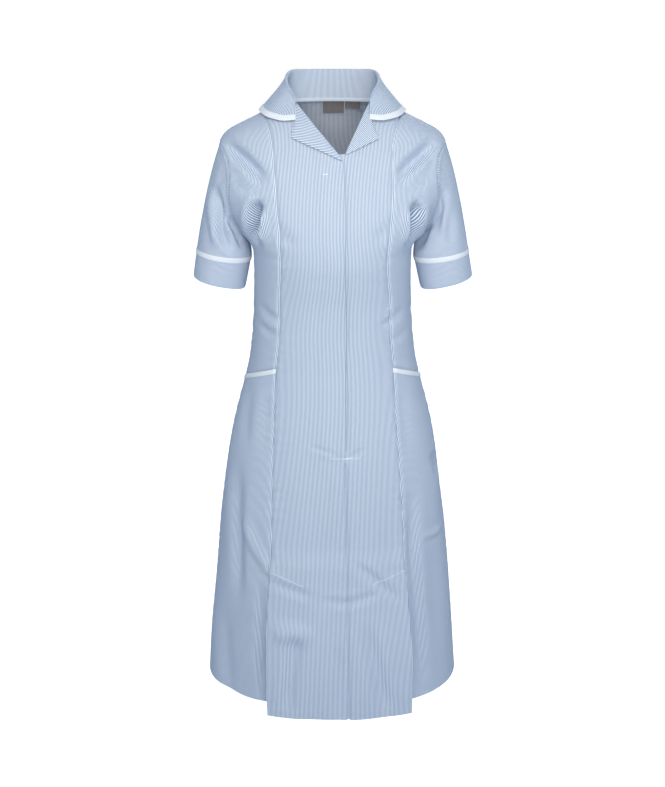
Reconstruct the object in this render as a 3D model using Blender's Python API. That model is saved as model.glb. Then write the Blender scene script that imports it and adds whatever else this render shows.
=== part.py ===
"""A striped nurse uniform dress, worn by nobody: a hollow cloth shell, open at neck, cuffs and hem.

Metres, +Z up, +X towards the wearer's left, and the front of the dress faces -Y. The origin is
the middle of the neck opening, level with the shoulder seams, where the wearer holds the dress.
Every piece of cloth is cut from one surface, the form: a stack of level sections of a general
figure. A place on it is given by its height z and by s, the distance round the section from
the middle of the front, positive towards +X.
"""

import math
from collections import namedtuple

import bpy
import numpy as np

# Cloth and making
CLOTH = 0.0012
SEAM = 0.0006  # gap between two pieces that are sewn together
LAYER = 0.0005  # clear space between two layers that lie on each other

# Heights
NECK_Z = -0.004
PRINCESS_TOP_Z = -0.0165  # where the princess seams reach the shoulder seams
SHOULDER_TIP_Z = -0.064
UNDERARM_Z = -0.226
V_RIGHT_Z = -0.086  # foot of the roll line of the wearer's right front, which laps over
V_LEFT_Z = -0.076
PLACKET_END_Z = -0.577
PLEAT_TOP_Z = -0.779
HEM_Z = -1.061  # centre front panel, which dips a little below the rest
SIDE_HEM_Z = -1.049

# The form's level sections. Each is half a superellipse in front and half behind.
# turn is how far the dress has turned round the figure there, measured round the section.
FormRow = namedtuple("FormRow", "z half_width front back front_round back_round turn")
FORM = [
    FormRow(-1.070, 0.2355, 0.137, 0.150, 2.20, 2.10, 0.0126),
    FormRow(-0.974, 0.2274, 0.136, 0.146, 2.20, 2.10, 0.0120),
    FormRow(-0.888, 0.2187, 0.135, 0.142, 2.20, 2.10, 0.0110),
    FormRow(-0.805, 0.2104, 0.134, 0.138, 2.20, 2.10, 0.0100),
    FormRow(-0.725, 0.2022, 0.133, 0.134, 2.20, 2.10, 0.0090),
    FormRow(-0.661, 0.1929, 0.132, 0.131, 2.20, 2.10, 0.0078),
    FormRow(-0.599, 0.1838, 0.131, 0.128, 2.20, 2.10, 0.0066),
    FormRow(-0.554, 0.1754, 0.129, 0.124, 2.20, 2.10, 0.0058),
    FormRow(-0.509, 0.1644, 0.126, 0.117, 2.20, 2.10, 0.0050),
    FormRow(-0.464, 0.1518, 0.123, 0.109, 2.20, 2.10, 0.0046),
    FormRow(-0.421, 0.1420, 0.121, 0.101, 2.20, 2.15, 0.0048),
    FormRow(-0.363, 0.1355, 0.122, 0.093, 2.25, 2.20, 0.0056),
    FormRow(-0.321, 0.1328, 0.126, 0.091, 2.30, 2.25, 0.0050),
    FormRow(-0.275, 0.1315, 0.136, 0.095, 2.35, 2.30, 0.0034),
    FormRow(-0.240, 0.1320, 0.143, 0.100, 2.40, 2.30, 0.0028),
    FormRow(-0.220, 0.1430, 0.144, 0.103, 2.35, 2.30, 0.0030),
    FormRow(-0.200, 0.1560, 0.143, 0.105, 2.30, 2.30, 0.0034),
    FormRow(-0.170, 0.1760, 0.138, 0.107, 2.30, 2.30, 0.0034),
    FormRow(-0.135, 0.1900, 0.127, 0.107, 2.30, 2.30, 0.0028),
    FormRow(-0.100, 0.1930, 0.113, 0.104, 2.30, 2.30, 0.0016),
    FormRow(-0.078, 0.1890, 0.102, 0.099, 2.25, 2.25, 0.0006),
    FormRow(-0.064, 0.1835, 0.094, 0.094, 2.20, 2.20, 0.0000),
    FormRow(-0.048, 0.1720, 0.084, 0.087, 2.15, 2.15, 0.0000),
    FormRow(-0.035, 0.1480, 0.076, 0.081, 2.10, 2.10, 0.0000),
    FormRow(-0.023, 0.1225, 0.067, 0.074, 2.05, 2.05, 0.0000),
    FormRow(-0.012, 0.0990, 0.058, 0.067, 2.00, 2.00, 0.0000),
    FormRow(-0.003, 0.0810, 0.050, 0.060, 2.00, 2.00, 0.0000),
    FormRow(0.006, 0.0640, 0.043, 0.053, 2.00, 2.00, 0.0000),
]

# Where the long shaping seams run: distance from the middle of the front or back, in x.
SeamRow = namedtuple("SeamRow", "z front back")
PRINCESS = [
    SeamRow(-1.070, 0.1230, 0.118),
    SeamRow(-0.950, 0.1240, 0.112),
    SeamRow(-0.859, 0.1210, 0.106),
    SeamRow(-0.779, 0.1160, 0.100),
    SeamRow(-0.718, 0.1139, 0.095),
    SeamRow(-0.618, 0.1092, 0.087),
    SeamRow(-0.550, 0.1054, 0.080),
    SeamRow(-0.483, 0.1015, 0.073),
    SeamRow(-0.426, 0.0982, 0.066),
    SeamRow(-0.376, 0.0929, 0.062),
    SeamRow(-0.305, 0.0895, 0.062),
    SeamRow(-0.243, 0.0853, 0.068),
    SeamRow(-0.162, 0.0894, 0.080),
    SeamRow(-0.105, 0.0922, 0.090),
    SeamRow(-0.067, 0.0940, 0.097),
    SeamRow(-0.036, 0.1010, 0.103),
    SeamRow(-0.010, 0.1120, 0.112),
]

# Front opening: the right front laps over the left, and the edge runs a little left of the middle.
LAP_EDGE_X = 0.0165
UNDERLAP_X = -0.0130
CENTRE_SEAM_X = 0.0150
LAP_START = 0.012  # the lap lifts over this height, then spreads over as much again
ROLL_TOP_X = 0.0575  # the lapels' roll lines at neck height
ROLL_INSET = 0.0032  # the fronts stop this far short of the roll line

# Armhole: an egg-shaped oval round the side line
ARMHOLE_FRONT = 0.070
ARMHOLE_BACK = 0.064
ARMHOLE_EGG = 0.40
ARMHOLE_STEPS = 20

# Pockets: the mouth slopes down from the princess seam to the side seam
MOUTH_FRONT_Z = -0.4240
MOUTH_SIDE_Z = -0.4620
POCKET_DEPTH = 0.160
POCKET_SINK = 0.0030
TRIM = 0.0080  # width of the white bindings
COLLAR_TRIM = 0.0102

# Kick pleats beside the centre front panel
PLEAT_DEPTH = 0.055
PLEAT_SLANT = 0.029
PLEAT_LIFT_TOP = 0.0046
PLEAT_LIFT_HEM = 0.0240
PLEAT_EASE = 0.045  # height over which the panel starts to stand away above the pleat

# Sleeve ends: places where a ring crosses the plane y = 0, outer and inner
SleeveRing = namedtuple("SleeveRing", "outer_x outer_z inner_x inner_z half_depth")
SLEEVE_END = SleeveRing(0.2270, -0.2385, 0.1360, -0.2520, 0.053)
CUFF_END = SleeveRing(0.2350, -0.2860, 0.1475, -0.3065, 0.049)
SLEEVE_FORWARD = -0.002

# Largest folds: soft troughs that run from one place on the dress to another, seen from the
# front (facing -1) or the back (facing 1). A trough of negative depth is a ridge.
Fold = namedtuple("Fold", "name facing x0 z0 x1 z1 half_width depth")
FOLDS = [
    Fold("drag from right armhole", -1, -0.176, -0.079, -0.104, -0.114, 0.014, 0.0050),
    Fold("drag from left armhole", -1, 0.180, -0.075, 0.100, -0.116, 0.014, 0.0045),
    Fold("right underarm", -1, -0.122, -0.150, -0.128, -0.226, 0.012, 0.0070),
    Fold("left underarm", -1, 0.133, -0.148, 0.128, -0.230, 0.012, 0.0065),
    Fold("right underarm, behind", 1, -0.128, -0.150, -0.128, -0.228, 0.013, 0.0055),
    Fold("left underarm, behind", 1, 0.130, -0.144, 0.127, -0.228, 0.013, 0.0060),
    Fold("right side of skirt", -1, -0.168, -0.640, -0.192, -1.080, 0.026, 0.0050),
    Fold("left side of skirt", -1, 0.172, -0.600, 0.196, -1.080, 0.028, 0.0045),
    Fold("right back flute", 1, -0.120, -0.560, -0.150, -1.080, 0.034, 0.0070),
    Fold("left back flute", 1, 0.100, -0.600, 0.138, -1.080, 0.036, 0.0065),
    Fold("middle back flute", 1, -0.010, -0.700, -0.018, -1.080, 0.038, 0.0060),
]

# Colours
STRIPE_BLUE = (0.42, 0.52, 0.70, 1.0)
TRIM_WHITE = (0.90, 0.92, 0.95, 1.0)
LABEL_GREY = (0.36, 0.34, 0.35, 1.0)


# ---------------------------------------------------------------- the form


def eased(rows, column, z):
    """A table's column at heights z, through a curve that never overshoots its rows."""
    at = np.array([row.z for row in rows])
    value = np.array([getattr(row, column) for row in rows])
    step, rise = np.diff(at), np.diff(value) / np.diff(at)
    slope = np.zeros(len(at))
    same = rise[:-1] * rise[1:] > 0
    before, after = 2 * step[1:] + step[:-1], step[1:] + 2 * step[:-1]
    mixed = np.where(same, rise[:-1] * rise[1:], 0.0)
    bottom = np.where(same, before * rise[1:] + after * rise[:-1], 1.0)
    slope[1:-1] = (before + after) * mixed / bottom
    slope[0], slope[-1] = rise[0], rise[-1]
    z = np.clip(np.asarray(z, float), at[0], at[-1])
    i = np.clip(np.searchsorted(at, z) - 1, 0, len(step) - 1)
    t = (z - at[i]) / step[i]
    return (
        value[i] * (1 + 2 * t) * (1 - t) ** 2
        + value[i + 1] * t * t * (3 - 2 * t)
        + slope[i] * step[i] * t * (1 - t) ** 2
        - slope[i + 1] * step[i] * t * t * (1 - t)
    )


def smooth(t):
    t = np.clip(t, 0, 1)
    return t * t * (3 - 2 * t)


QUARTER = np.linspace(0, math.pi / 2, 48)


def half_section(z):
    """Points from the middle of the front round +X to the middle of the back, one row for each z."""
    wide, front, back, round_f, round_b = (
        eased(FORM, name, z)[:, None]
        for name in ("half_width", "front", "back", "front_round", "back_round")
    )
    sine, cosine = np.sin(QUARTER), np.cos(QUARTER)
    x = np.hstack([wide * sine ** (2 / round_f), (wide * cosine ** (2 / round_b))[:, 1:]])
    y = np.hstack([-front * cosine ** (2 / round_f), (back * sine ** (2 / round_b))[:, 1:]])
    along = np.cumsum(np.hypot(np.diff(x), np.diff(y)), axis=1)
    return x, y, np.hstack([np.zeros((len(x), 1)), along])


def side_s(z):
    """s of the side line, where the section is widest."""
    return half_section(np.atleast_1d(z))[2][:, len(QUARTER) - 1]


def back_s(z):
    """s of the middle of the back."""
    return half_section(np.atleast_1d(z))[2][:, -1]


def front_s(x, z):
    """s of the place on the front at distance x from the middle."""
    curve_x, _, along = half_section(np.atleast_1d(z))
    n = len(QUARTER)
    reach = np.broadcast_to(np.asarray(x, float), along[:, 0].shape)
    found = [np.interp(abs(r), cx[:n], s[:n]) for r, cx, s in zip(reach, curve_x, along)]
    return np.sign(reach) * np.array(found)


def behind_s(x, z):
    """s of the place on the back at distance x from the middle, on the +X side."""
    curve_x, _, along = half_section(np.atleast_1d(z))
    n = len(QUARTER) - 1
    return np.array([np.interp(x_, cx[:n:-1], s[:n:-1]) for x_, cx, s in zip(x, curve_x, along)])


def place(s, z):
    """Points of the form at distance s round the section of height z, and its outward normals."""
    s, z = np.broadcast_arrays(np.asarray(s, float), np.asarray(z, float))
    shape, s, z = s.shape, s.ravel(), z.ravel()
    s = s + eased(FORM, "turn", z)
    x, y, along = half_section(z)
    girth = 2 * along[:, -1]
    s = (s + girth / 2) % girth - girth / 2
    side = np.where(s < 0, -1.0, 1.0)
    reach = np.abs(s)
    i = np.clip((along < reach[:, None]).sum(1) - 1, 0, along.shape[1] - 2)
    row = np.arange(len(s))
    part = (reach - along[row, i]) / (along[row, i + 1] - along[row, i])
    px = side * (x[row, i] + part * (x[row, i + 1] - x[row, i]))
    py = y[row, i] + part * (y[row, i + 1] - y[row, i])
    points = np.stack([px, py, z], axis=1)
    return points.reshape(*shape, 3), form_normal(points).reshape(*shape, 3)


def form_level(points):
    """Nought on the form, more outside it, and the gradient of that."""
    x, y, z = np.asarray(points, float).reshape(-1, 3).T
    dz = 0.002

    def level(x, y, z):
        wide = eased(FORM, "half_width", z)
        deep = np.where(y < 0, eased(FORM, "front", z), eased(FORM, "back", z))
        power = np.where(y < 0, eased(FORM, "front_round", z), eased(FORM, "back_round", z))
        return (np.abs(x) / wide) ** power + (np.abs(y) / deep) ** power - 1

    e = 1e-5
    gradient = np.stack(
        [
            (level(x + e, y, z) - level(x - e, y, z)) / (2 * e),
            (level(x, y + e, z) - level(x, y - e, z)) / (2 * e),
            (level(x, y, z + dz) - level(x, y, z - dz)) / (2 * dz),
        ],
        axis=1,
    )
    return level(x, y, z), gradient


def form_normal(points):
    gradient = form_level(points)[1]
    return gradient / np.linalg.norm(gradient, axis=1, keepdims=True)


def kept_off(points, clearance):
    """The points, with those nearer the form than clearance moved out to it."""
    shape = points.shape
    points = points.reshape(-1, 3).copy()
    for _ in range(3):
        level, gradient = form_level(points)
        size = np.linalg.norm(gradient, axis=1)
        short = np.clip(clearance - level / size, 0, None)
        points += (short / size)[:, None] * gradient
    return points.reshape(shape)


def fold_depth(points):
    """How far the largest folds sink the cloth at each point."""
    x, y, z = points[..., 0], points[..., 1], points[..., 2]
    total = np.zeros(x.shape)
    for fold in FOLDS:
        run_x, run_z = fold.x1 - fold.x0, fold.z1 - fold.z0
        length = math.hypot(run_x, run_z)
        along = ((x - fold.x0) * run_x + (z - fold.z0) * run_z) / length**2
        off = np.abs((x - fold.x0) * run_z - (z - fold.z0) * run_x) / length
        taper = smooth(along / 0.35) * smooth((1.15 - along) / 0.35)
        near = smooth(fold.facing * y / 0.035)
        total += fold.depth * np.exp(-((off / fold.half_width) ** 2)) * taper * near
    return total


# ---------------------------------------------------------------- seams, as s at height z


def princess_front(z):
    z = np.atleast_1d(z)
    x = np.minimum(eased(PRINCESS, "front", z), eased(FORM, "half_width", z))
    return np.where(z < PRINCESS_TOP_Z, front_s(x, z), side_s(z))


def princess_back(z):
    z = np.atleast_1d(z)
    x = np.minimum(eased(PRINCESS, "back", z), eased(FORM, "half_width", z))
    return np.where(z < PRINCESS_TOP_Z, behind_s(x, z), side_s(z))


def armhole(z, reach):
    """How far the armhole's edge is from the side line at height z."""
    middle, half = (SHOULDER_TIP_Z + UNDERARM_Z) / 2, (SHOULDER_TIP_Z - UNDERARM_Z) / 2
    height = np.clip((np.atleast_1d(z) - middle) / half, -1, 1)
    return reach * np.sqrt(1 - height**2) * (1 + ARMHOLE_EGG * height)


def armhole_rows():
    """Heights at which the armhole's edge has its corners, upwards."""
    middle, half = (SHOULDER_TIP_Z + UNDERARM_Z) / 2, (SHOULDER_TIP_Z - UNDERARM_Z) / 2
    return middle - half * np.cos(np.linspace(0, math.pi, ARMHOLE_STEPS // 2 + 1))


def front_outer(z):
    return side_s(z) - armhole(z, ARMHOLE_FRONT)


def back_outer(z):
    return side_s(z) + armhole(z, ARMHOLE_BACK)


def roll_line(z, foot_x, foot_z, top_x):
    """s of a lapel's roll line, from the foot of the opening up to the neck."""
    share = (np.atleast_1d(z) - foot_z) / (NECK_Z - foot_z)
    return front_s(foot_x + np.clip(share, 0, 1) * (top_x - foot_x), z)


def lap_spread(z):
    return np.clip((z - PLACKET_END_Z) / LAP_START - 1, 0, 1)


def right_front_edge(z):
    """The free edge of the wearer's right front: lap, centre seam below the placket, roll line."""
    z = np.atleast_1d(z)
    edge = front_s(CENTRE_SEAM_X + (LAP_EDGE_X - CENTRE_SEAM_X) * lap_spread(z), z)
    roll = roll_line(z, LAP_EDGE_X, V_RIGHT_Z, -ROLL_TOP_X) - ROLL_INSET
    return np.where(z > V_RIGHT_Z - 1e-6, roll, edge)


def left_front_edge(z):
    z = np.atleast_1d(z)
    edge = front_s(CENTRE_SEAM_X + (UNDERLAP_X - CENTRE_SEAM_X) * lap_spread(z), z)
    roll = roll_line(z, LAP_EDGE_X + 0.004, V_LEFT_Z, ROLL_TOP_X) + ROLL_INSET
    return np.where(z > V_LEFT_Z - 1e-6, roll, edge)


def pleat_lift(z):
    """How far the centre front panel stands off the form beside the pleats."""
    start = smooth((PLEAT_TOP_Z + PLEAT_EASE - z) / PLEAT_EASE) * PLEAT_LIFT_TOP
    return start + smooth((PLEAT_TOP_Z - z) / (PLEAT_TOP_Z - HEM_Z)) * (
        PLEAT_LIFT_HEM - PLEAT_LIFT_TOP
    )


def lap_lift(z):
    """How far the right front rides over the left, from the end of the placket to the lapels."""
    start = np.clip((z - PLACKET_END_Z) / LAP_START, 0, 1)
    return (CLOTH + LAYER) * start * (1 - smooth((z - V_LEFT_Z) / 0.020))


# ---------------------------------------------------------------- making solids


def clear_scene():
    for old in list(bpy.data.objects):
        bpy.data.objects.remove(old, do_unlink=True)


def finish_of(name, colour, roughness):
    material = bpy.data.materials.new(name)
    material.use_nodes = True
    shader = material.node_tree.nodes["Principled BSDF"]
    shader.inputs["Base Color"].default_value = colour
    shader.inputs["Roughness"].default_value = roughness
    shader.inputs["Metallic"].default_value = 0.0
    return material


Wall = namedtuple("Wall", "outer inner")


def sheet(name, wall, material, ring=False):
    """A cloth wall as one closed body; ring joins its last column to its first."""
    rows, columns = wall.outer.shape[:2]
    inside = rows * columns
    spans = columns if ring else columns - 1

    def at(r, c):
        return r * columns + c % columns

    faces = []
    for r in range(rows - 1):
        for c in range(spans):
            outer = (at(r, c), at(r, c + 1), at(r + 1, c + 1), at(r + 1, c))
            faces.append(outer)
            faces.append(tuple(inside + v for v in reversed(outer)))
    rim = [((0, c + 1), (0, c)) for c in range(spans)]
    rim += [((rows - 1, c), (rows - 1, c + 1)) for c in range(spans)]
    if not ring:
        rim += [((r, 0), (r + 1, 0)) for r in range(rows - 1)]
        rim += [((r + 1, columns - 1), (r, columns - 1)) for r in range(rows - 1)]
    for start, end in rim:
        a, b = at(*start), at(*end)
        faces.append((a, b, inside + b, inside + a))
    mesh = bpy.data.meshes.new(name)
    points = np.concatenate([wall.outer.reshape(-1, 3), wall.inner.reshape(-1, 3)])
    mesh.from_pydata([tuple(p) for p in points], [], faces)
    mesh.materials.append(material)
    piece = bpy.data.objects.new(name, mesh)
    bpy.context.scene.collection.objects.link(piece)
    return piece


def cloth(grid, ring=False, thickness=CLOTH):
    """A wall whose right side is grid, as rows of points."""
    if ring:
        along = np.roll(grid, -1, axis=1) - np.roll(grid, 1, axis=1)
    else:
        along = np.gradient(grid, axis=1)
    normals = np.cross(along, np.gradient(grid, axis=0))
    normals /= np.linalg.norm(normals, axis=2, keepdims=True)
    return Wall(grid, grid - normals * thickness)


def heights(*knots):
    """Rows from height to height: knots are z, count, z, count, ... z."""
    spans = [
        np.linspace(low, high, count, endpoint=False)
        for low, count, high in zip(knots[0::2], knots[1::2], knots[2::2])
    ]
    return np.append(np.concatenate(spans), knots[-1])


def body_rows(low, high):
    """The heights at which every body panel has its rows, so that neighbours meet corner to corner."""
    skirt = heights(SIDE_HEM_Z, 4, PLEAT_TOP_Z, 1, PLEAT_TOP_Z + PLEAT_EASE, 2, PLACKET_END_Z)
    waist = heights(PLACKET_END_Z, 4, -0.41, 4, UNDERARM_Z)
    shoulder = heights(SHOULDER_TIP_Z, 3, PRINCESS_TOP_Z - 0.003)
    neck = [PRINCESS_TOP_Z, (PRINCESS_TOP_Z + NECK_Z) / 2, NECK_Z]
    z = np.concatenate([skirt[:-1], waist[:-1], armhole_rows()[:-1], shoulder, neck])
    return z[(z > low - 1e-6) & (z < high + 1e-6)]


def across(left, right, share):
    """s values for each row, at shares of the way from its left edge to its right, inside the seams."""
    share = np.asarray(share)
    left, right = left + SEAM / 2, right - SEAM / 2
    return left[:, None] + (right - left)[:, None] * share


def lifted(s, z, lift, side=1, thickness=CLOTH):
    """A wall lift above the folded form. side -1 gives the piece of the wearer's right side."""
    points, normals = place(side * s, z)
    lift = np.broadcast_to(lift, points.shape[:2]) - fold_depth(points)
    outer = points + normals * lift[..., None]
    inner = outer - normals * thickness
    return Wall(outer, inner) if side > 0 else Wall(outer[:, ::-1], inner[:, ::-1])


# ---------------------------------------------------------------- centre front and pleats

RIGHT_COLUMNS = (0, 0.2, 0.4, 0.58, 0.70, 0.85, 1)
RIGHT_LAP = (0, 0, 0, 0, 1, 1, 1)  # which of those columns ride over the left front
LEFT_COLUMNS = (0, 0.2, 0.4, 0.6, 0.8, 1)


def front_rows(*corners):
    z = body_rows(SIDE_HEM_Z, NECK_Z)
    z[0] = HEM_Z
    lap = [PLACKET_END_Z + LAP_START, PLACKET_END_Z + 2 * LAP_START]
    return np.unique(np.concatenate([z, lap, corners]))


def right_front():
    z = front_rows(V_RIGHT_Z)
    s = across(-princess_front(z), right_front_edge(z), RIGHT_COLUMNS)
    return lifted(s, z[:, None], (pleat_lift(z) + lap_lift(z) * np.array(RIGHT_LAP)[:, None]).T)


def left_front():
    z = front_rows(V_LEFT_Z - 0.006, V_LEFT_Z)
    s = across(left_front_edge(z), princess_front(z), LEFT_COLUMNS)
    return lifted(s, z[:, None], pleat_lift(z)[:, None])


def pleat_wall(side):
    """The folded cloth behind one edge of the centre front panel: in to the fold, and out again."""
    fold = 4
    share = np.concatenate([np.linspace(0, 1, fold), np.linspace(1, 0, fold)])
    z_top = PLEAT_TOP_Z - SEAM - PLEAT_SLANT * share
    rows = np.linspace(0, 1, 5)[:, None]
    z = SIDE_HEM_Z + rows * (z_top - SIDE_HEM_Z)
    edge = np.stack([princess_front(z[:, c]) for c in range(z.shape[1])], axis=1)
    s = edge - SEAM / 2 - PLEAT_DEPTH * share
    under_panel = pleat_lift(z) - 2 * CLOTH - 2 * LAYER
    at_fold = LAYER + 0.05 * under_panel
    upper = under_panel + (at_fold - under_panel) * share
    returning = np.arange(len(share)) >= fold
    wall = lifted(s, z, np.where(returning, 0.0, upper), side)
    return fold_over(wall, fold, side)


def fold_over(wall, fold, side):
    """Turns the cloth of the first columns face down, for it has been folded over."""
    turned = np.arange(wall.outer.shape[1]) < fold
    if side < 0:
        turned = turned[::-1]
    turned = turned[None, :, None]
    shift = (wall.outer - wall.inner) * turned
    return Wall(wall.outer, wall.inner + 2 * shift)


# ---------------------------------------------------------------- side fronts and pockets


def mouth_z(share):
    return MOUTH_FRONT_Z + (MOUTH_SIDE_Z - MOUTH_FRONT_Z) * share


def slanted(z, share, left_of, right_of):
    """s for each point, where a row's heights differ from column to column."""
    s = np.empty(z.shape)
    for c in range(z.shape[1]):
        left, right = left_of(z[:, c]) + SEAM / 2, right_of(z[:, c]) - SEAM / 2
        s[:, c] = left + (right - left) * share[c]
    return s


def side_front(side):
    """Upper side front, which runs on down behind the pocket's mouth as its back."""
    share = np.linspace(0, 1, 6)
    fixed = body_rows(-0.38, PRINCESS_TOP_Z - 0.002)
    drop = np.array([-POCKET_DEPTH, -0.07, -0.004, 0.012])[:, None]
    low = mouth_z(share) + drop
    z = np.vstack([low, np.repeat(fixed[:, None], len(share), axis=1)])
    s = slanted(z, share, princess_front, front_outer)
    behind = smooth((mouth_z(share) + 0.012 - z) / 0.014)
    return lifted(s, z, -POCKET_SINK * behind, side)


def pocket(side):
    """Lower side front, the pocket's outer layer, from the binding on its mouth to the hem."""
    share = np.linspace(0, 1, 6)
    fixed = body_rows(SIDE_HEM_Z, MOUTH_SIDE_Z - 0.02)
    z = np.repeat(fixed[:, None], len(share), axis=1)
    top = mouth_z(share) - TRIM - SEAM
    z = np.vstack([z, (z[-1] + top) / 2, top])
    return lifted(slanted(z, share, princess_front, front_outer), z, 0.0, side)


def pocket_trim(side):
    share = np.linspace(0, 1, 6)
    z = np.vstack([mouth_z(share) - TRIM, mouth_z(share)])
    s = slanted(z, share, princess_front, front_outer)
    s[:, 0] += SEAM
    s[:, -1] -= SEAM
    return lifted(s, z, 0.0004, side)


# ---------------------------------------------------------------- back


def side_back(side):
    z = body_rows(SIDE_HEM_Z, PRINCESS_TOP_Z - 0.002)
    s = across(back_outer(z), princess_back(z), np.linspace(0, 1, 6))[:, ::-1]
    return lifted(2 * back_s(z)[:, None] - s, z[:, None], 0.0, -side)


def centre_back():
    z = body_rows(SIDE_HEM_Z, NECK_Z)
    s = across(princess_back(z), 2 * back_s(z) - princess_back(z), np.linspace(0, 1, 9))
    return lifted(s, z[:, None], 0.0)


# ---------------------------------------------------------------- sleeves


def sleeve_angles():
    return -np.linspace(0, 2 * math.pi, ARMHOLE_STEPS, endpoint=False)


def sleeve_ring(ring, turn):
    """Points of an oval ring at angles turn: 0 is outermost, a quarter turn is in front."""
    outer = np.array([ring.outer_x, SLEEVE_FORWARD, ring.outer_z])
    inner = np.array([ring.inner_x, SLEEVE_FORWARD, ring.inner_z])
    forward = np.array([0.0, -ring.half_depth, 0.0])
    middle, half = (outer + inner) / 2, (outer - inner) / 2
    return middle + np.cos(turn)[:, None] * half + np.sin(turn)[:, None] * forward


def armhole_ring(turn, side):
    """The armhole's edge, and the direction in which the sleeve leaves it, both with +X outward."""
    middle, half = (SHOULDER_TIP_Z + UNDERARM_Z) / 2, (SHOULDER_TIP_Z - UNDERARM_Z) / 2
    z = middle + half * np.cos(turn)
    reach = np.where(np.sin(turn) > 0, ARMHOLE_FRONT, ARMHOLE_BACK)
    s = side_s(z) - reach * np.sin(turn) * (1 + ARMHOLE_EGG * np.cos(turn))
    points, normals = place(side * s, z)
    points = points - normals * fold_depth(points)[:, None]
    points, normals = points * [side, 1, 1], normals * [side, 1, 1]
    around = np.roll(points, -1, axis=0) - np.roll(points, 1, axis=0)
    away = np.cross(around, normals)
    away /= np.linalg.norm(away, axis=1, keepdims=True)
    down_and_out = np.array([0.45, 0.0, -0.89])
    low = smooth((-np.cos(turn) - 0.1) / 0.8)[:, None]
    away = away * (1 - low) + down_and_out * low
    away /= np.linalg.norm(away, axis=1, keepdims=True)
    return points, away


def sleeve(side, rows=7):
    turn = sleeve_angles()
    start, away = armhole_ring(turn, side)
    end = sleeve_ring(SLEEVE_END, turn)
    along = sleeve_ring(CUFF_END, turn) - end
    along /= np.linalg.norm(along, axis=1, keepdims=True)
    start = start + away * SEAM * 1.5
    reach = np.linalg.norm(end - start, axis=1, keepdims=True)
    w = np.linspace(1, 0, rows)[:, None, None]
    grid = (
        start * (1 + 2 * w) * (1 - w) ** 2
        + end * w * w * (3 - 2 * w)
        + away * reach * 0.55 * w * (1 - w) ** 2
        - along * reach * 1.0 * w * w * (1 - w)
    )
    return cloth(grid if side > 0 else grid[:, ::-1] * [-1, 1, 1], ring=True)


def cuff_band(side, top, bottom, rows, swell):
    """A band of the sleeve's end between two shares of the way from SLEEVE_END to CUFF_END."""
    turn = sleeve_angles()
    upper, lower = sleeve_ring(SLEEVE_END, turn), sleeve_ring(CUFF_END, turn)
    grid = []
    for share in np.linspace(bottom, top, rows):
        ring = upper + (lower - upper) * share
        out = ring - ring.mean(0)
        out /= np.linalg.norm(out, axis=1, keepdims=True)
        grid.append(ring + out * swell)
    grid = np.array(grid)
    return cloth(grid if side > 0 else grid[:, ::-1] * [-1, 1, 1], ring=True)


CUFF_LENGTH = math.dist((SLEEVE_END.outer_x, SLEEVE_END.outer_z), (CUFF_END.outer_x, CUFF_END.outer_z))
TRIM_SHARE = TRIM / CUFF_LENGTH
GAP_SHARE = SEAM / CUFF_LENGTH


# ---------------------------------------------------------------- collar and lapels

# The neck seam, roll and outer edge at places round the neck; turn is from the back, in degrees.
CollarStation = namedtuple("CollarStation", "name turn roll edge")
COLLAR = [
    CollarStation("centre back", 0, (0.0, 0.0700, 0.0445), (0.0, 0.086, -0.018)),
    CollarStation("back", 25, (0.038, 0.0665, 0.0445), (0.053, 0.081, -0.019)),
    CollarStation("back corner", 50, (0.0665, 0.045, 0.0445), (0.096, 0.055, -0.020)),
    CollarStation("shoulder", 78, (0.0735, 0.008, 0.037), (0.1175, 0.011, -0.0165)),
    CollarStation("corner", 107, (0.0710, -0.016, 0.027), (0.1090, -0.038, -0.0215)),
    CollarStation("front", 122, (0.0650, -0.033, 0.018), (0.0830, -0.062, -0.0270)),
    CollarStation("gorge", 135, (0.0590, -0.046, 0.008), (0.0575, -0.070, -0.0250)),
]
ROLL_RADIUS = 0.0026
COLLAR_CLEARANCE = 0.0040  # the fall's right side above the form


def curve_through(points, count):
    """count points along a smooth curve through points."""
    points = np.array(points, float)
    ends = np.vstack([2 * points[0] - points[1], points, 2 * points[-1] - points[-2]])
    at = np.linspace(0, len(points) - 1, count)
    i = np.minimum(at.astype(int), len(points) - 2)
    t = (at - i)[:, None]
    a, b, c, d = (ends[i + k] for k in range(4))
    return 0.5 * (
        2 * b + (c - a) * t + (2 * a - 5 * b + 4 * c - d) * t**2 + (3 * b - a - 3 * c + d) * t**3
    )


def collar_lines(count):
    """Neck, roll and outer edge of the whole collar, from the wearer's left front to the right."""
    turn = np.radians([station.turn for station in COLLAR])
    z = np.full(len(turn), NECK_Z + 1.5 * SEAM)
    y = -np.where(np.cos(turn) < 0, eased(FORM, "front", z), -eased(FORM, "back", z))
    neck = np.stack([eased(FORM, "half_width", z) * np.sin(turn), y * np.abs(np.cos(turn)), z], 1)
    lines = []
    for half in (neck, [station.roll for station in COLLAR], [station.edge for station in COLLAR]):
        half = [np.array(p) for p in half]
        other = [p * np.array([-1.0, 1.0, 1.0]) for p in half[1:]]
        lines.append(curve_through(half[::-1] + other, count))
    return lines


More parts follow.
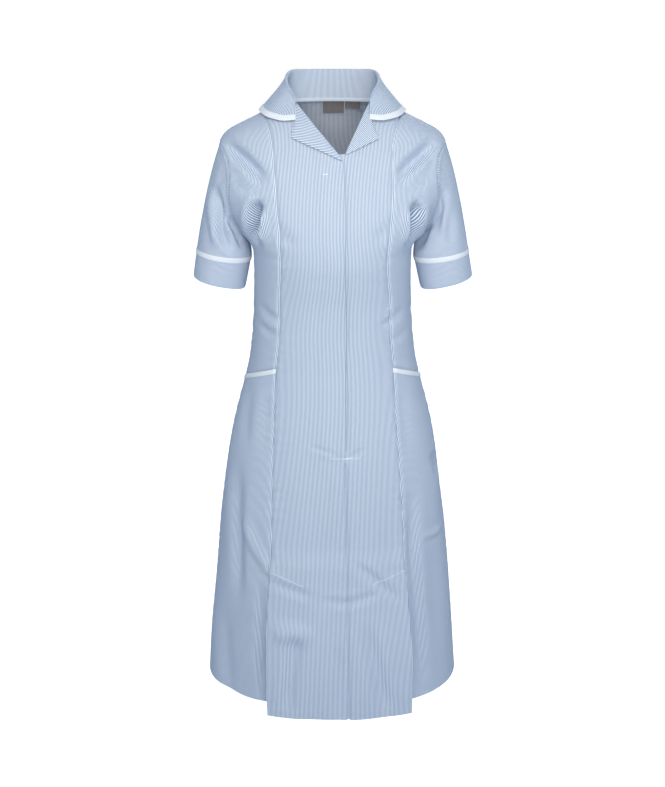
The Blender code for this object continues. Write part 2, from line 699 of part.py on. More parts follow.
def collar_profile(neck, roll, edge, fall_points):
    """One line across the collar: up the stand, over the roll, down the fall to the edge."""
    up = roll - neck
    up /= np.linalg.norm(up)
    out = edge - roll
    out -= up * np.dot(out, up)
    out /= np.linalg.norm(out)
    middle = roll - up * ROLL_RADIUS
    arc = [
        middle + ROLL_RADIUS * (math.sin(a) * up - math.cos(a) * out)
        for a in np.linspace(0, math.pi, 4)
    ]
    stand = [neck + (arc[0] - neck) * t for t in (0.0, 0.5)]
    reach = np.linalg.norm(edge - arc[-1])
    fall = []
    for t in np.linspace(0, 1, fall_points + 1)[1:]:
        lean = (edge - arc[-1]) / reach
        point = (
            arc[-1] * (1 + 2 * t) * (1 - t) ** 2
            + edge * t * t * (3 - 2 * t)
            - up * reach * 0.35 * t * (1 - t) ** 2
            - lean * reach * 0.9 * t * t * (1 - t)
        )
        fall.append(point)
    return np.array(stand + arc), np.array(fall)


def collar_walls(count=23, fall_points=4):
    """The collar up to its binding, and the binding along the outer edge."""
    body, trim = [], []
    for neck, roll, edge in zip(*collar_lines(count)):
        fixed, fall = collar_profile(neck, roll, edge, fall_points)
        fall = kept_off(fall, COLLAR_CLEARANCE)
        last = fall[-1] - fall[-2]
        long = np.linalg.norm(last)
        cut = fall[-1] - last / long * COLLAR_TRIM
        body.append(np.vstack([fixed, fall[:-1], cut - last / long * SEAM]))
        trim.append(np.vstack([cut, fall[-1]]))
    return cloth(np.array(body)), cloth(np.array(trim))


LapelShape = namedtuple("LapelShape", "foot_x foot_z top_x corner_x corner_z notch_x notch_z")
RIGHT_LAPEL = LapelShape(LAP_EDGE_X, V_RIGHT_Z, -ROLL_TOP_X, -0.0650, -0.0520, -0.0575, -0.0240)
LEFT_LAPEL = LapelShape(LAP_EDGE_X + 0.004, V_LEFT_Z, ROLL_TOP_X, 0.0728, -0.0535, 0.0575, -0.0240)
LAPEL_CORNER_SHARE = 0.62
LAPEL_HEIGHTS = (0.0000, 0.0021, 0.0034, 0.0033, 0.0028, 0.0023, 0.0020)
LAPEL_REACH = (0.0, -0.0010, 0.0006, 0.06, 0.36, 0.68, 1.0)


def lapel(shape, lap, rows=9):
    """A lapel: the front's edge rolled outwards and laid on the front, lap above it at its foot."""
    grid = []
    for t in np.linspace(0.03, 0.97, rows):
        z_roll = shape.foot_z + (NECK_Z - shape.foot_z) * t
        x_roll = shape.foot_x + (shape.top_x - shape.foot_x) * t
        if t < LAPEL_CORNER_SHARE:
            u = t / LAPEL_CORNER_SHARE
            x_out = shape.foot_x + (shape.corner_x - shape.foot_x) * u
            z_out = shape.foot_z + (shape.corner_z - shape.foot_z) * u
        else:
            u = (t - LAPEL_CORNER_SHARE) / (1 - LAPEL_CORNER_SHARE)
            x_out = shape.corner_x + (shape.notch_x - shape.corner_x) * u
            z_out = shape.corner_z + (shape.notch_z - shape.corner_z) * u
        span = math.hypot(x_out - x_roll, z_out - z_roll)
        row = []
        for k, (height, reach) in enumerate(zip(LAPEL_HEIGHTS, LAPEL_REACH)):
            share = reach / max(span, 1e-4) if k < 3 else max(reach, 0.0012 / span)
            x = x_roll + (x_out - x_roll) * share
            z = np.array([z_roll + (z_out - z_roll) * share])
            s = front_s(x, z) - eased(FORM, "turn", z)
            row.append(lifted(s[:, None], z[:, None], height + lap * lap_lift(z)).outer[0, 0])
        grid.append(row)
    grid = np.array(grid)
    return cloth(grid[:, ::-1] if shape.top_x < 0 else grid)


# ---------------------------------------------------------------- labels inside the back neck


def label(back, x_left, width, height):
    """A tape sewn inside the back neck, laid on the back's own facets."""
    rows = []
    for z in (back[-1, 0, 2] - height - 0.001, back[-1, 0, 2] - height / 2, back[-1, 0, 2] - 0.001):
        r = min(max(int(np.searchsorted(back[:, 0, 2], z)) - 1, 0), len(back) - 2)
        t = (z - back[r, 0, 2]) / (back[r + 1, 0, 2] - back[r, 0, 2])
        line = back[r] * (1 - t) + back[r + 1] * t
        order = np.argsort(line[:, 0])
        x = np.linspace(x_left, x_left + width, 4)
        y = np.interp(x, line[order, 0], line[order, 1])
        rows.append(np.stack([x, y, np.full(4, z)], axis=1))
    points = np.array(rows)
    points -= form_normal(points.reshape(-1, 3)).reshape(points.shape) * (CLOTH + 1.6 * LAYER)
    return cloth(points[:, ::-1], thickness=0.0010)


# ---------------------------------------------------------------- the dress


def both_sides(name, make, material, ring=False):
    """The same piece on the wearer's left, at +X, and on the right."""
    sheet(name + "_left", make(1), material, ring)
    sheet(name + "_right", make(-1), material, ring)


def cuff_trim(side):
    return cuff_band(side, GAP_SHARE, TRIM_SHARE, 2, 0.0004)


def cuff(side):
    return cuff_band(side, TRIM_SHARE + GAP_SHARE, 1, 3, 0.0)


def build_dress():
    clear_scene()
    stripe = finish_of("striped_cloth", STRIPE_BLUE, 0.85)
    white = finish_of("white_trim", TRIM_WHITE, 0.75)
    grey = finish_of("label_tape", LABEL_GREY, 0.80)

    sheet("front_right", right_front(), stripe)
    sheet("front_left", left_front(), stripe)
    both_sides("pleat", pleat_wall, stripe)
    both_sides("side_front", side_front, stripe)
    both_sides("pocket_front", pocket, stripe)
    both_sides("pocket_trim", pocket_trim, white)
    both_sides("side_back", side_back, stripe)
    back = centre_back()
    sheet("back", back, stripe)
    both_sides("sleeve", sleeve, stripe, ring=True)
    both_sides("cuff_trim", cuff_trim, white, ring=True)
    both_sides("cuff", cuff, stripe, ring=True)
    body, trim = collar_walls()
    sheet("collar", body, stripe)
    sheet("collar_trim", trim, white)
    sheet("lapel_right", lapel(RIGHT_LAPEL, 1), stripe)
    sheet("lapel_left", lapel(LEFT_LAPEL, 0), stripe)
    sheet("neck_label", label(back.outer, -0.0165, 0.036, 0.0205), grey)
    sheet("size_label", label(back.outer, 0.0210, 0.026, 0.013), grey)


build_dress()
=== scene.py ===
"""Looks of a striped nurse uniform dress: every cloth wall as a thin, creased and stitched shell.

Metres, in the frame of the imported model: +Z up, +X towards the wearer's left, the front faces -Y.
A place on the dress is given by its height z and by s, the distance round the level section from
the middle of the front, positive towards +X, as in the part's own source.
"""

import math
from collections import namedtuple

import bpy
import numpy as np
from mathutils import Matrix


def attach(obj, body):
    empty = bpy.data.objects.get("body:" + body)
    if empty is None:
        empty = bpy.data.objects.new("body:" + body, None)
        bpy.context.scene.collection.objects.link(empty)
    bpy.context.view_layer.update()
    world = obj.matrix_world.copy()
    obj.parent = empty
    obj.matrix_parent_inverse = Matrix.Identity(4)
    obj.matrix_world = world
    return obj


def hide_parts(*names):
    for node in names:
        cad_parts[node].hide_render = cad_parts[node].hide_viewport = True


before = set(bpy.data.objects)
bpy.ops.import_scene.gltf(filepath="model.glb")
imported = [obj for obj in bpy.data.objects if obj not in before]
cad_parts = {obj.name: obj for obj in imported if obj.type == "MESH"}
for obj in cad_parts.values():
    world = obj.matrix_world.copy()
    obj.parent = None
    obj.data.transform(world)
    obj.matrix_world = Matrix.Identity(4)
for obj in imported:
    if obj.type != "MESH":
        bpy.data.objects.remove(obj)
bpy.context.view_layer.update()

# ---- sizes, in metres

SHELL = 0.0007  # drawn thickness of one layer of cloth
HEM_FOLD = 0.0008  # what the turned-up layer adds
HEM_TURN = 0.0160  # height of the hem's stitch line above its fold
CLOTH = 0.0012  # the solids' cloth wall
LAYER = 0.0005  # room between two layers that lie on each other
CELL = 0.0040  # spacing of the cloth's grid

NECK_Z = -0.004
PRINCESS_TOP_Z = -0.0165
SIDE_TOP_Z = PRINCESS_TOP_Z - 0.002  # where the side panels stop
SHOULDER_TIP_Z = -0.064
UNDERARM_Z = -0.226
V_RIGHT_Z = -0.086
V_LEFT_Z = -0.076
PLACKET_END_Z = -0.577
PLEAT_TOP_Z = -0.779
HEM_Z = -1.061
SIDE_HEM_Z = -1.049
SIDE_HEM_RISE = 0.005  # the hem is this much higher at the side seams
RISE_REACH = 0.080
RISE_SPAN = 0.16  # how far round from the side seam the hem still rises

FormRow = namedtuple("FormRow", "z half_width front back front_round back_round turn")
FORM = [
    FormRow(-1.070, 0.2355, 0.137, 0.150, 2.20, 2.10, 0.0126),
    FormRow(-0.974, 0.2274, 0.136, 0.146, 2.20, 2.10, 0.0120),
    FormRow(-0.888, 0.2187, 0.135, 0.142, 2.20, 2.10, 0.0110),
    FormRow(-0.805, 0.2104, 0.134, 0.138, 2.20, 2.10, 0.0100),
    FormRow(-0.725, 0.2022, 0.133, 0.134, 2.20, 2.10, 0.0090),
    FormRow(-0.661, 0.1929, 0.132, 0.131, 2.20, 2.10, 0.0078),
    FormRow(-0.599, 0.1838, 0.131, 0.128, 2.20, 2.10, 0.0066),
    FormRow(-0.554, 0.1754, 0.129, 0.124, 2.20, 2.10, 0.0058),
    FormRow(-0.509, 0.1644, 0.126, 0.117, 2.20, 2.10, 0.0050),
    FormRow(-0.464, 0.1518, 0.123, 0.109, 2.20, 2.10, 0.0046),
    FormRow(-0.421, 0.1420, 0.121, 0.101, 2.20, 2.15, 0.0048),
    FormRow(-0.363, 0.1355, 0.122, 0.093, 2.25, 2.20, 0.0056),
    FormRow(-0.321, 0.1328, 0.126, 0.091, 2.30, 2.25, 0.0050),
    FormRow(-0.275, 0.1315, 0.136, 0.095, 2.35, 2.30, 0.0034),
    FormRow(-0.240, 0.1320, 0.143, 0.100, 2.40, 2.30, 0.0028),
    FormRow(-0.220, 0.1430, 0.144, 0.103, 2.35, 2.30, 0.0030),
    FormRow(-0.200, 0.1560, 0.143, 0.105, 2.30, 2.30, 0.0034),
    FormRow(-0.170, 0.1760, 0.138, 0.107, 2.30, 2.30, 0.0034),
    FormRow(-0.135, 0.1900, 0.127, 0.107, 2.30, 2.30, 0.0028),
    FormRow(-0.100, 0.1930, 0.113, 0.104, 2.30, 2.30, 0.0016),
    FormRow(-0.078, 0.1890, 0.102, 0.099, 2.25, 2.25, 0.0006),
    FormRow(-0.064, 0.1835, 0.094, 0.094, 2.20, 2.20, 0.0000),
    FormRow(-0.048, 0.1720, 0.084, 0.087, 2.15, 2.15, 0.0000),
    FormRow(-0.035, 0.1480, 0.076, 0.081, 2.10, 2.10, 0.0000),
    FormRow(-0.023, 0.1225, 0.067, 0.074, 2.05, 2.05, 0.0000),
    FormRow(-0.012, 0.0990, 0.058, 0.067, 2.00, 2.00, 0.0000),
    FormRow(-0.003, 0.0810, 0.050, 0.060, 2.00, 2.00, 0.0000),
    FormRow(0.006, 0.0640, 0.043, 0.053, 2.00, 2.00, 0.0000),
]

# Where the long shaping seams run: distance from the middle of the front or back, in x.
SeamRow = namedtuple("SeamRow", "z front back")
PRINCESS = [
    SeamRow(-1.070, 0.1230, 0.118),
    SeamRow(-0.950, 0.1240, 0.112),
    SeamRow(-0.859, 0.1210, 0.106),
    SeamRow(-0.779, 0.1160, 0.100),
    SeamRow(-0.718, 0.1139, 0.095),
    SeamRow(-0.618, 0.1092, 0.087),
    SeamRow(-0.550, 0.1054, 0.080),
    SeamRow(-0.483, 0.1015, 0.073),
    SeamRow(-0.426, 0.0982, 0.066),
    SeamRow(-0.376, 0.0929, 0.062),
    SeamRow(-0.305, 0.0895, 0.062),
    SeamRow(-0.243, 0.0853, 0.068),
    SeamRow(-0.162, 0.0894, 0.080),
    SeamRow(-0.105, 0.0922, 0.090),
    SeamRow(-0.067, 0.0940, 0.097),
    SeamRow(-0.036, 0.1010, 0.103),
    SeamRow(-0.010, 0.1120, 0.112),
]

LAP_EDGE_X = 0.0165
UNDERLAP_X = -0.0130
CENTRE_SEAM_X = 0.0150
LAP_START = 0.012
ROLL_TOP_X = 0.0575
LAP_EDGE_RISE = 0.0026  # the lap's folded edge stands up a little
LAP_EDGE_DIP = 0.0013  # and the left front dips beside it
LAP_RAMP = (-0.034, -0.017)  # where the right front climbs over the left front's edge, in x

ARMHOLE_FRONT = 0.070
ARMHOLE_BACK = 0.064
ARMHOLE_EGG = 0.40
ARMHOLE_ROWS = 44

MOUTH_FRONT_Z = -0.4240
MOUTH_SIDE_Z = -0.4620
POCKET_DEPTH = 0.160
POCKET_SINK = 0.0030
ABOVE_MOUTH_Z = -0.415  # above this the side front's rows are level
TRIM = 0.0080
COLLAR_TRIM = 0.0102

PLEAT_DEPTH = 0.055
PLEAT_SLANT = 0.029
PLEAT_LIFT_TOP = 0.0046
PLEAT_LIFT_HEM = 0.0240
PLEAT_EASE = 0.045

SleeveRing = namedtuple("SleeveRing", "outer_x outer_z inner_x inner_z half_depth")
SLEEVE_END = SleeveRing(0.2270, -0.2385, 0.1360, -0.2520, 0.053)
CUFF_END = SleeveRing(0.2350, -0.2860, 0.1475, -0.3065, 0.049)
SLEEVE_FORWARD = -0.002
CUFF_LENGTH = math.dist((SLEEVE_END.outer_x, SLEEVE_END.outer_z), (CUFF_END.outer_x, CUFF_END.outer_z))

# Seams: the cloth dips into the seam, and the turnings under it raise it a little beside it
SEAM_DIP = 0.0019
SEAM_DIP_WIDTH = 0.0024
TURNING_RISE = 0.0004
TURNING_AT = 0.0065
TURNING_WIDTH = 0.0040
PUCKER = 0.0008
PUCKER_REACH = 0.013
PUCKER_PITCH = 0.019
PUCKER_START = 0.003  # the seam itself does not pucker

# Stripes and threads
STRIPE_PERIOD = 0.00217
THREAD = STRIPE_PERIOD / 8
STITCH_PITCH = 0.0032
STITCH_LENGTH = 0.0024
STITCH_RADIUS = 0.00026
STITCH_SINK = 0.6  # how deep a stitch's ends go, in radii
THICK_STITCH = 0.0005  # radius of the white stitches and tacks

# ---- folds and creases

FRONT, BACK, LEFT, RIGHT = (0, -1), (0, 1), (1, 0), (-1, 0)

# The largest folds, as in the solids: a soft trough from one place to another, seen from in
# front (-1) or behind (1).
Fold = namedtuple("Fold", "facing x0 z0 x1 z1 half_width depth")
FOLDS = [
    Fold(-1, -0.176, -0.079, -0.104, -0.114, 0.014, 0.0050),
    Fold(-1, 0.180, -0.075, 0.100, -0.116, 0.014, 0.0045),
    Fold(-1, -0.122, -0.150, -0.128, -0.226, 0.012, 0.0070),
    Fold(-1, 0.133, -0.148, 0.128, -0.230, 0.012, 0.0065),
    Fold(1, -0.128, -0.150, -0.128, -0.228, 0.013, 0.0055),
    Fold(1, 0.130, -0.144, 0.127, -0.228, 0.013, 0.0060),
    Fold(-1, -0.168, -0.640, -0.192, -1.080, 0.026, 0.0050),
    Fold(-1, 0.172, -0.600, 0.196, -1.080, 0.028, 0.0045),
    Fold(1, -0.120, -0.560, -0.150, -1.080, 0.034, 0.0070),
    Fold(1, 0.100, -0.600, 0.138, -1.080, 0.036, 0.0065),
    Fold(1, -0.010, -0.700, -0.018, -1.080, 0.038, 0.0060),
]

# Smaller creases on the body. A path is (distance across, height) as seen from that side:
# across is x in front and behind, and y at the sides. A negative depth is a ridge.
Crease = namedtuple("Crease", "name facing half_width depth path")


def creases(facing, *rows):
    """Creases seen from one side: a row is name, half_width, depth and then the path's places."""
    return [Crease(name, facing, half_width, depth, path) for name, half_width, depth, *path in rows]


CREASES = creases(
    FRONT,
    ("right drag", 0.0095, 0.011, (-0.178, -0.058), (-0.139, -0.083), (-0.103, -0.114)),
    ("right drag, lower", 0.0065, -0.0026, (-0.166, -0.085), (-0.138, -0.104), (-0.112, -0.122)),
    ("right drag, lowest", 0.006, 0.003, (-0.16, -0.118), (-0.138, -0.131), (-0.108, -0.128)),
    ("left drag", 0.01, 0.012, (0.17, -0.056), (0.132, -0.082), (0.095, -0.113)),
    ("left drag, lower", 0.0065, -0.0028, (0.16, -0.082), (0.135, -0.101), (0.108, -0.118)),
    ("left drag, lowest", 0.006, 0.0028, (0.158, -0.112), (0.138, -0.126), (0.112, -0.131)),
    ("right armpit", 0.0085, 0.027, (-0.106, -0.143), (-0.121, -0.156), (-0.125, -0.178), (-0.127, -0.222)),
    ("left armpit", 0.0085, 0.027, (0.128, -0.143), (0.134, -0.164), (0.131, -0.188), (0.126, -0.226)),
    ("right armpit ridge", 0.007, -0.004, (-0.105, -0.16), (-0.112, -0.185), (-0.114, -0.22)),
    ("left armpit ridge", 0.007, -0.004, (0.112, -0.155), (0.119, -0.182), (0.117, -0.222)),
    ("right bust", 0.011, 0.0022, (-0.096, -0.17), (-0.078, -0.196), (-0.055, -0.214)),
    ("left bust", 0.011, 0.0022, (0.098, -0.168), (0.08, -0.192), (0.06, -0.206)),
    ("right waist", 0.008, 0.0026, (-0.122, -0.318), (-0.104, -0.335), (-0.078, -0.342)),
    ("right waist, lower", 0.0075, 0.0022, (-0.126, -0.352), (-0.104, -0.366), (-0.084, -0.366)),
    ("left waist", 0.008, 0.0026, (0.12, -0.324), (0.1, -0.34), (0.074, -0.352)),
    ("left waist, lower", 0.0075, 0.002, (0.128, -0.366), (0.108, -0.374), (0.09, -0.37)),
    ("centre below the waist", 0.0055, 0.0016, (0.0225, -0.43), (0.024, -0.48), (0.0245, -0.568)),
    ("lap, upper", 0.006, 0.001, (-0.02, -0.15), (-0.016, -0.26), (-0.022, -0.38)),
    ("zip end, right", 0.005, 0.0016, (-0.04, -0.548), (-0.006, -0.56), (0.0175, -0.568)),
    ("zip end, left", 0.005, 0.0016, (0.022, -0.568), (0.036, -0.566), (0.056, -0.552)),
    ("below the zip", 0.008, -0.0012, (0.004, -0.585), (0.008, -0.64), (0.004, -0.7)),
    ("right skirt flute", 0.011, 0.0075, (-0.16, -0.585), (-0.168, -0.7), (-0.171, -0.88)),
    ("right skirt flute, low", 0.012, 0.003, (-0.202, -0.87), (-0.199, -0.95), (-0.192, -1.075)),
    ("right ridge", 0.011, -0.0042, (-0.16, -0.69), (-0.137, -0.746), (-0.114, -0.78), (-0.085, -0.796)),
    ("right of the pleat", 0.0075, 0.0052, (-0.124, -0.79), (-0.129, -0.9), (-0.13, -1.06)),
    ("left skirt drag", 0.009, 0.0038, (0.03, -0.752), (0.083, -0.808), (0.126, -0.852)),
    ("left skirt flute", 0.0115, 0.0085, (0.134, -0.6), (0.141, -0.77), (0.157, -0.93), (0.168, -1.075)),
    ("left skirt diagonal", 0.0075, -0.0034, (0.156, -0.728), (0.178, -0.738), (0.2, -0.738)),
    ("left hip dent", 0.0085, 0.0066, (0.168, -0.59), (0.181, -0.608), (0.19, -0.64)),
    ("left hip, below", 0.01, -0.0018, (0.172, -0.575), (0.182, -0.62), (0.19, -0.68)),
    ("pleat head, right", 0.009, 0.0028, (-0.114, -0.8), (-0.08, -0.812), (-0.025, -0.83)),
    ("pleat head, left", 0.009, 0.0026, (-0.03, -0.832), (0.03, -0.838), (0.092, -0.818)),
    ("right panel fold", 0.012, 0.0066, (-0.06, -0.88), (-0.067, -0.94), (-0.079, -1.07)),
    ("left panel fold", 0.013, 0.0072, (0.056, -0.87), (0.071, -0.946), (0.097, -1.07)),
    ("panel ridge", 0.018, -0.005, (-0.112, -0.9), (-0.07, -0.896), (-0.025, -0.902)),
    ("middle panel fold", 0.012, 0.0036, (0.01, -0.9), (0.014, -0.98), (0.012, -1.07)),
    ("right pocket bag", 0.01, 0.0013, (-0.108, -0.445), (-0.112, -0.52), (-0.122, -0.59)),
    ("left pocket bag", 0.01, 0.0014, (0.116, -0.45), (0.122, -0.52), (0.13, -0.585)),
    ("right pocket edge", 0.008, 0.0024, (-0.136, -0.47), (-0.146, -0.52), (-0.15, -0.57)),
)
CREASES += creases(
    BACK,
    ("left shoulder blade", 0.013, 0.0016, (0.15, -0.09), (0.11, -0.12), (0.085, -0.17)),
    ("right shoulder blade", 0.012, 0.002, (-0.156, -0.084), (-0.118, -0.118), (-0.088, -0.15)),
    ("right armpit, behind", 0.0075, 0.005, (-0.118, -0.146), (-0.13, -0.178), (-0.128, -0.226)),
    ("left armpit, behind", 0.0075, 0.0056, (0.124, -0.14), (0.132, -0.176), (0.127, -0.23)),
    ("small of the back, 1", 0.009, 0.0026, (-0.112, -0.305), (-0.05, -0.322), (0.018, -0.316)),
    ("small of the back, 2", 0.0085, 0.0024, (-0.04, -0.348), (0.03, -0.356), (0.104, -0.338)),
    ("small of the back, 3", 0.008, 0.0018, (-0.12, -0.372), (-0.07, -0.384), (-0.012, -0.378)),
    ("small of the back, 4", 0.0085, 0.0015, (0.03, -0.392), (0.078, -0.398), (0.122, -0.384)),
    ("back flute, far right", 0.014, 0.005, (-0.176, -0.64), (-0.19, -0.82), (-0.204, -1.075)),
    ("back flute, right", 0.015, 0.003, (-0.07, -0.62), (-0.078, -0.83), (-0.09, -1.075)),
    ("back flute, left", 0.015, 0.0034, (0.048, -0.69), (0.058, -0.86), (0.066, -1.075)),
    ("back flute, far left", 0.014, 0.0044, (0.172, -0.6), (0.186, -0.8), (0.202, -1.075)),
    ("seat, right", 0.014, 0.0014, (-0.09, -0.5), (-0.04, -0.54), (0.01, -0.536)),
    ("seat, left", 0.013, 0.0012, (0.1, -0.47), (0.06, -0.51), (0.02, -0.52)),
)
CREASES += creases(
    RIGHT,
    ("right side flute", 0.013, 0.0034, (0.02, -0.7), (0.028, -0.85), (0.034, -1.075)),
    ("right side waist", 0.008, 0.001, (-0.05, -0.338), (0.0, -0.352), (0.045, -0.34)),
    ("right side waist, lower", 0.008, 0.0008, (-0.03, -0.38), (0.02, -0.386), (0.06, -0.374)),
)
CREASES += creases(
    LEFT,
    ("left side flute", 0.013, 0.0038, (0.03, -0.66), (0.03, -0.84), (0.026, -1.075)),
    ("left side waist", 0.008, 0.001, (-0.052, -0.33), (-0.004, -0.346), (0.04, -0.338)),
    ("left side waist, lower", 0.008, 0.0008, (-0.036, -0.372), (0.012, -0.384), (0.05, -0.372)),
)

# Creases of the sleeves, seen as those of the body are
SLEEVE_CREASES = creases(
    FRONT,
    ("right, outer", 0.008, 0.0095, (-0.193, -0.122), (-0.18, -0.17), (-0.1787, -0.206), (-0.163, -0.246)),
    ("right, ridge", 0.0075, -0.0034, (-0.202, -0.15), (-0.195, -0.19), (-0.188, -0.236)),
    ("right, inner", 0.0062, 0.008, (-0.1741, -0.172), (-0.156, -0.205), (-0.144, -0.24)),
    ("right, innermost", 0.0054, 0.006, (-0.154, -0.188), (-0.14, -0.215), (-0.134, -0.24)),
    ("left, upper", 0.008, 0.0085, (0.179, -0.126), (0.1735, -0.17), (0.164, -0.214)),
    ("left, outer", 0.008, 0.0032, (0.183, -0.16), (0.191, -0.195), (0.194, -0.234)),
    ("left, inner", 0.0062, 0.008, (0.169, -0.16), (0.152, -0.205), (0.141, -0.244)),
    ("left, innermost", 0.0054, 0.006, (0.156, -0.192), (0.14, -0.222), (0.136, -0.246)),
)
SLEEVE_CREASES += creases(
    BACK,
    ("right, behind", 0.008, 0.0036, (-0.176, -0.14), (-0.16, -0.195), (-0.146, -0.24)),
    ("right, behind, outer", 0.008, 0.0024, (-0.198, -0.15), (-0.196, -0.196), (-0.19, -0.236)),
    ("left, behind", 0.008, 0.0038, (0.172, -0.15), (0.158, -0.2), (0.15, -0.24)),
    ("left, behind, outer", 0.008, 0.0022, (0.196, -0.13), (0.201, -0.18), (0.202, -0.228)),
)

# ---- the form


def eased(rows, column, z):
    """A table's column at heights z, through a curve that never overshoots its rows."""
    at = np.array([row.z for row in rows])
    value = np.array([getattr(row, column) for row in rows])
    step, rise = np.diff(at), np.diff(value) / np.diff(at)
    slope = np.zeros(len(at))
    same = rise[:-1] * rise[1:] > 0
    before, after = 2 * step[1:] + step[:-1], step[1:] + 2 * step[:-1]
    mixed = np.where(same, rise[:-1] * rise[1:], 0.0)
    bottom = np.where(same, before * rise[1:] + after * rise[:-1], 1.0)
    slope[1:-1] = (before + after) * mixed / bottom
    slope[0], slope[-1] = rise[0], rise[-1]
    z = np.clip(np.asarray(z, float), at[0], at[-1])
    i = np.clip(np.searchsorted(at, z) - 1, 0, len(step) - 1)
    t = (z - at[i]) / step[i]
    return (
        value[i] * (1 + 2 * t) * (1 - t) ** 2
        + value[i + 1] * t * t * (3 - 2 * t)
        + slope[i] * step[i] * t * (1 - t) ** 2
        - slope[i + 1] * step[i] * t * t * (1 - t)
    )


def smooth(t):
    t = np.clip(t, 0, 1)
    return t * t * (3 - 2 * t)


def unit(vectors):
    """The vectors, which lie along the last axis, at length 1."""
    return vectors / np.linalg.norm(vectors, axis=-1, keepdims=True)


QUARTER = np.linspace(0, math.pi / 2, 120)


def half_section(z):
    """Points from the middle of the front round +X to the middle of the back, one row for each z."""
    wide, front, back, round_f, round_b = (
        eased(FORM, name, z)[:, None]
        for name in ("half_width", "front", "back", "front_round", "back_round")
    )
    sine, cosine = np.sin(QUARTER), np.cos(QUARTER)
    cosine[-1] = 0.0
    x = np.hstack([wide * sine ** (2 / round_f), (wide * cosine ** (2 / round_b))[:, 1:]])
    y = np.hstack([-front * cosine ** (2 / round_f), (back * sine ** (2 / round_b))[:, 1:]])
    along = np.cumsum(np.hypot(np.diff(x), np.diff(y)), axis=1)
    return x, y, np.hstack([np.zeros((len(x), 1)), along])


def form_level(points):
    """Nought on the form, more outside it, and the gradient of that."""
    x, y, z = np.asarray(points, float).reshape(-1, 3).T
    dz = 0.002

    def level(x, y, z):
        wide = eased(FORM, "half_width", z)
        deep = np.where(y < 0, eased(FORM, "front", z), eased(FORM, "back", z))
        power = np.where(y < 0, eased(FORM, "front_round", z), eased(FORM, "back_round", z))
        return (np.abs(x) / wide) ** power + (np.abs(y) / deep) ** power - 1

    e = 1e-5
    gradient = np.stack(
        [
            (level(x + e, y, z) - level(x - e, y, z)) / (2 * e),
            (level(x, y + e, z) - level(x, y - e, z)) / (2 * e),
            (level(x, y, z + dz) - level(x, y, z - dz)) / (2 * dz),
        ],
        axis=1,
    )
    return level(x, y, z), gradient


def kept_off(points, clearance):
    """The points, with those nearer the form than clearance moved out to it."""
    shape = points.shape
    points = points.reshape(-1, 3).copy()
    for _ in range(3):
        level, gradient = form_level(points)
        size = np.linalg.norm(gradient, axis=1)
        short = np.clip(clearance - level / size, 0, None)
        points += (short / size)[:, None] * gradient
    return points.reshape(shape)


TABLE_STEP = 0.002
TABLE_SHARES = 200


class FormTable:
    """The form at even heights and even shares of the way from mid-front to mid-back."""

    def __init__(self):
        self.z = np.arange(FORM[0].z, FORM[-1].z + TABLE_STEP / 2, TABLE_STEP)
        x, y, along = half_section(self.z)
        self.half = along[:, -1]
        share = np.linspace(0, 1, TABLE_SHARES + 1)
        even = [[np.interp(share * a[-1], a, line) for line in (lx, ly)] for a, lx, ly in zip(along, x, y)]
        even = np.array(even)
        z = np.broadcast_to(self.z[:, None], even[:, 0].shape)
        points = np.stack([even[:, 0], even[:, 1], z], axis=2)
        normal = unit(form_level(points)[1])
        self.values = np.concatenate([points, normal.reshape(points.shape)], axis=2)

    def look_up(self, s, z):
        row = np.clip((z - self.z[0]) / TABLE_STEP, 0, len(self.z) - 1.001)
        i = row.astype(int)
        f = row - i
        half = self.half[i] * (1 - f) + self.half[i + 1] * f
        s = (s + half) % (2 * half) - half
        column = np.clip(np.abs(s) / half * TABLE_SHARES, 0, TABLE_SHARES - 0.001)
        k = column.astype(int)
        g = (column - k)[..., None]
        f = f[..., None]
        low = self.values[i, k] * (1 - g) + self.values[i, k + 1] * g
        high = self.values[i + 1, k] * (1 - g) + self.values[i + 1, k + 1] * g
        found = low * (1 - f) + high * f
        found[..., [0, 3]] *= np.where(s < 0, -1.0, 1.0)[..., None]
        points, normals = found[..., :3], found[..., 3:]
        points[..., 2] = z
        return points, unit(normals)


TABLE = FormTable()


def place(s, z):
    """Points of the form at distance s round the section of height z, and its outward normals."""
    s, z = np.broadcast_arrays(np.asarray(s, float), np.asarray(z, float))
    return TABLE.look_up(s + eased(FORM, "turn", z), z)


def side_s(z):
    """s of the side line, where the section is widest."""
    return half_section(np.atleast_1d(z))[2][:, len(QUARTER) - 1]


def back_s(z):
    return half_section(np.atleast_1d(z))[2][:, -1]


def front_s(x, z):
    """s of the place on the front at distance x from the middle."""
    curve_x, _, along = half_section(np.atleast_1d(z))
    n = len(QUARTER)
    reach = np.broadcast_to(np.asarray(x, float), along[:, 0].shape)
    found = [np.interp(abs(r), cx[:n], s[:n]) for r, cx, s in zip(reach, curve_x, along)]
    return np.sign(reach) * np.array(found)


def behind_s(x, z):
    """s of the place on the back at distance x from the middle, on the +X side."""
    curve_x, _, along = half_section(np.atleast_1d(z))
    n = len(QUARTER) - 1
    return np.array([np.interp(x_, cx[:n:-1], s[:n:-1]) for x_, cx, s in zip(x, curve_x, along)])


# ---- folds in the cloth


FOLD_TAPER = 0.35  # share of a fold's length over which it deepens
FOLD_OVERRUN = 1.15  # a fold runs on this far past its second place
FOLD_BLEND = 0.035  # a fold fades out this near the side line


